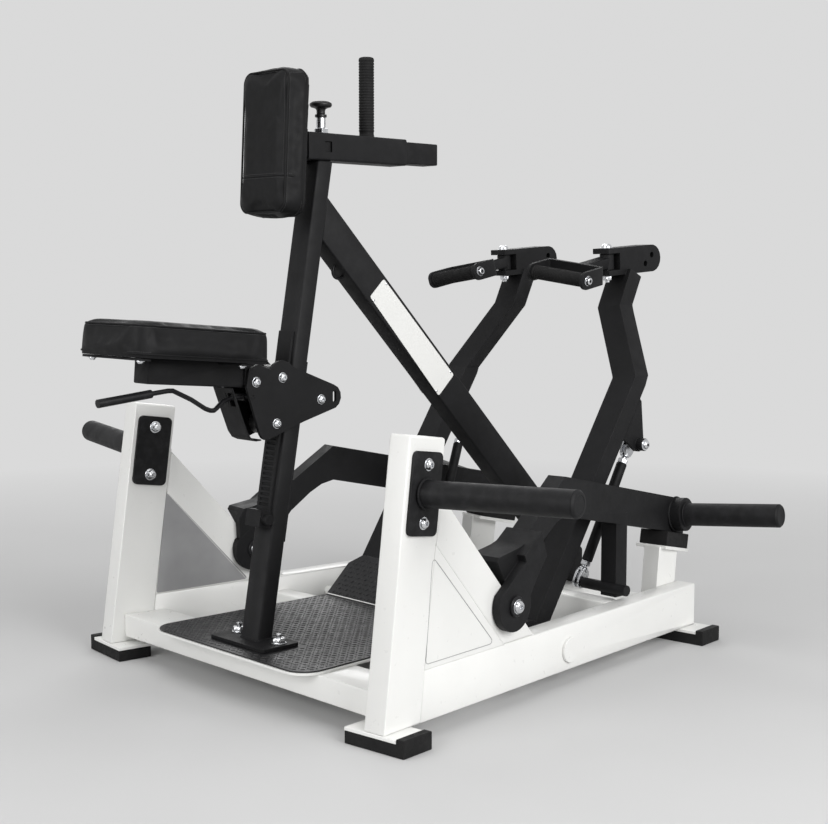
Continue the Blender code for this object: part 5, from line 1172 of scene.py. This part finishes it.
def face_line(first, second):
    """A line just over the pad's face between two local (x, z) points."""
    path = []
    for step in range(41):
        x, z = (low + (high - low) * step / 40 for low, high in zip(first, second))
        spot = hit(pad_tree, PAD @ Vector((x, 0.05, z)), PAD @ Vector((x, -0.05, z)))
        path.append(spot + PAD.to_3x3() @ Vector((0.0, SEWN_LIFT, 0.0)))
    return path


seam = resample(face_line((SEAM_UP, -0.078), (SEAM_UP, 0.078)), PATH_PITCH, False)
tube(piping, seam, 0.0015, 10)
piece("chest_piping", piping, VINYL, "pad_carrier")
for up in (SEAM_UP - 0.0040, SEAM_UP + 0.0040):
    stitches(sewn, face_line((up, -0.077), (up, 0.077)))
for side in (-1, 1):
    for out in (0.066, 0.071):
        stitches(sewn, face_line((SEAM_UP + 0.006, side * out), (0.296, side * out)))
piece("chest_stitches", sewn, THREAD, "pad_carrier")


# Floor: a grey disc that fades into the background with distance but keeps the shadow
def background_rays(tree, *kinds):
    """One for a ray of any of these kinds, else zero."""
    outputs = tree.nodes.new("ShaderNodeLightPath").outputs
    found = outputs[f"Is {kinds[0]} Ray"]
    for kind in kinds[1:]:
        found = maths(tree, "MAXIMUM", found, outputs[f"Is {kind} Ray"])
    return found


floor_shape = bmesh.new()
lathe(floor_shape, [(0.0, 0.0), (3.0, 0.0), (9.0, 0.0)], Matrix.Identity(4), 96)
bmesh.ops.recalc_face_normals(floor_shape, faces=floor_shape.faces)
floor = new_object("studio_floor", floor_shape)
look = Look("pale_studio_floor", Roughness=0.9, Specular_IOR_Level=0.0, Emission_Color=(1.0, 1.0, 1.0, 1.0))
distance = look.node("VectorMath", operation="LENGTH")
look.link(look.where, distance.inputs[0])
far = look.between(distance.outputs["Value"], 1.1, 3.6, 0.0, 1.0)
cloud = look.clouded(0.8, 3.0, (0.55, 0.55, 0.55), (0.58, 0.58, 0.58))
look.colour(look.mixed(far, cloud, (0.0, 0.0, 0.0)))
seen = maths(look.tree, "MULTIPLY", background_rays(look.tree, "Camera", "Glossy"), BACKGROUND)
look.link(maths(look.tree, "MULTIPLY", seen, far), look.shader.inputs["Emission Strength"])
floor.data.materials.append(look.material)

# World: soft light, and the plain background where it is seen or mirrored
world = bpy.data.worlds.new("studio")
bpy.context.scene.world = world
world.use_nodes = True
nodes = world.node_tree.nodes
nodes["Background"].inputs["Color"].default_value = (1.0, 1.0, 1.0, 1.0)
level = nodes.new("ShaderNodeMapRange")
level.inputs["To Min"].default_value = WORLD_LIGHT
level.inputs["To Max"].default_value = BACKGROUND
seen = background_rays(world.node_tree, "Camera", "Transmission", "Glossy")
world.node_tree.links.new(seen, level.inputs["Value"])
world.node_tree.links.new(level.outputs["Result"], nodes["Background"].inputs["Strength"])

# Lamps: name, place, size and power; all aim at the machine's middle
LAMPS = (("key_light", (4.0, -0.2, 2.1), (2.6, 2.2), 136.0),
         ("front_light", (0.2, -4.2, 1.9), (3.2, 2.2), 80.0),
         ("top_light", (0.0, -0.6, 4.2), (3.0, 3.0), 45.0),
         ("back_light", (-3.2, 2.6, 2.6), (2.4, 2.0), 45.0))
AIM = Vector((0.0, 0.0, 0.6))
for name, spot, size, power in LAMPS:
    data = bpy.data.lights.new(name, "AREA")
    data.shape = "RECTANGLE"
    data.size, data.size_y = size
    data.energy = power
    made = bpy.data.objects.new(name, data)
    made.location = spot
    made.rotation_euler = (AIM - Vector(spot)).to_track_quat("-Z", "Y").to_euler()
    bpy.context.scene.collection.objects.link(made)

# Camera at the photo's angle
camera_data = bpy.data.cameras.new("camera")
camera_data.lens = 63.18
camera_data.sensor_width = 36.0
camera = bpy.data.objects.new("camera", camera_data)
camera.location = Vector((2.4162, -1.7516, 0.8574)) + SHIFT
camera.rotation_euler = (math.radians(90.0 - 5.597), 0.0, math.radians(46.528))
bpy.context.scene.collection.objects.link(camera)
bpy.context.scene.camera = camera
bpy.context.scene.view_settings.view_transform = "Standard"
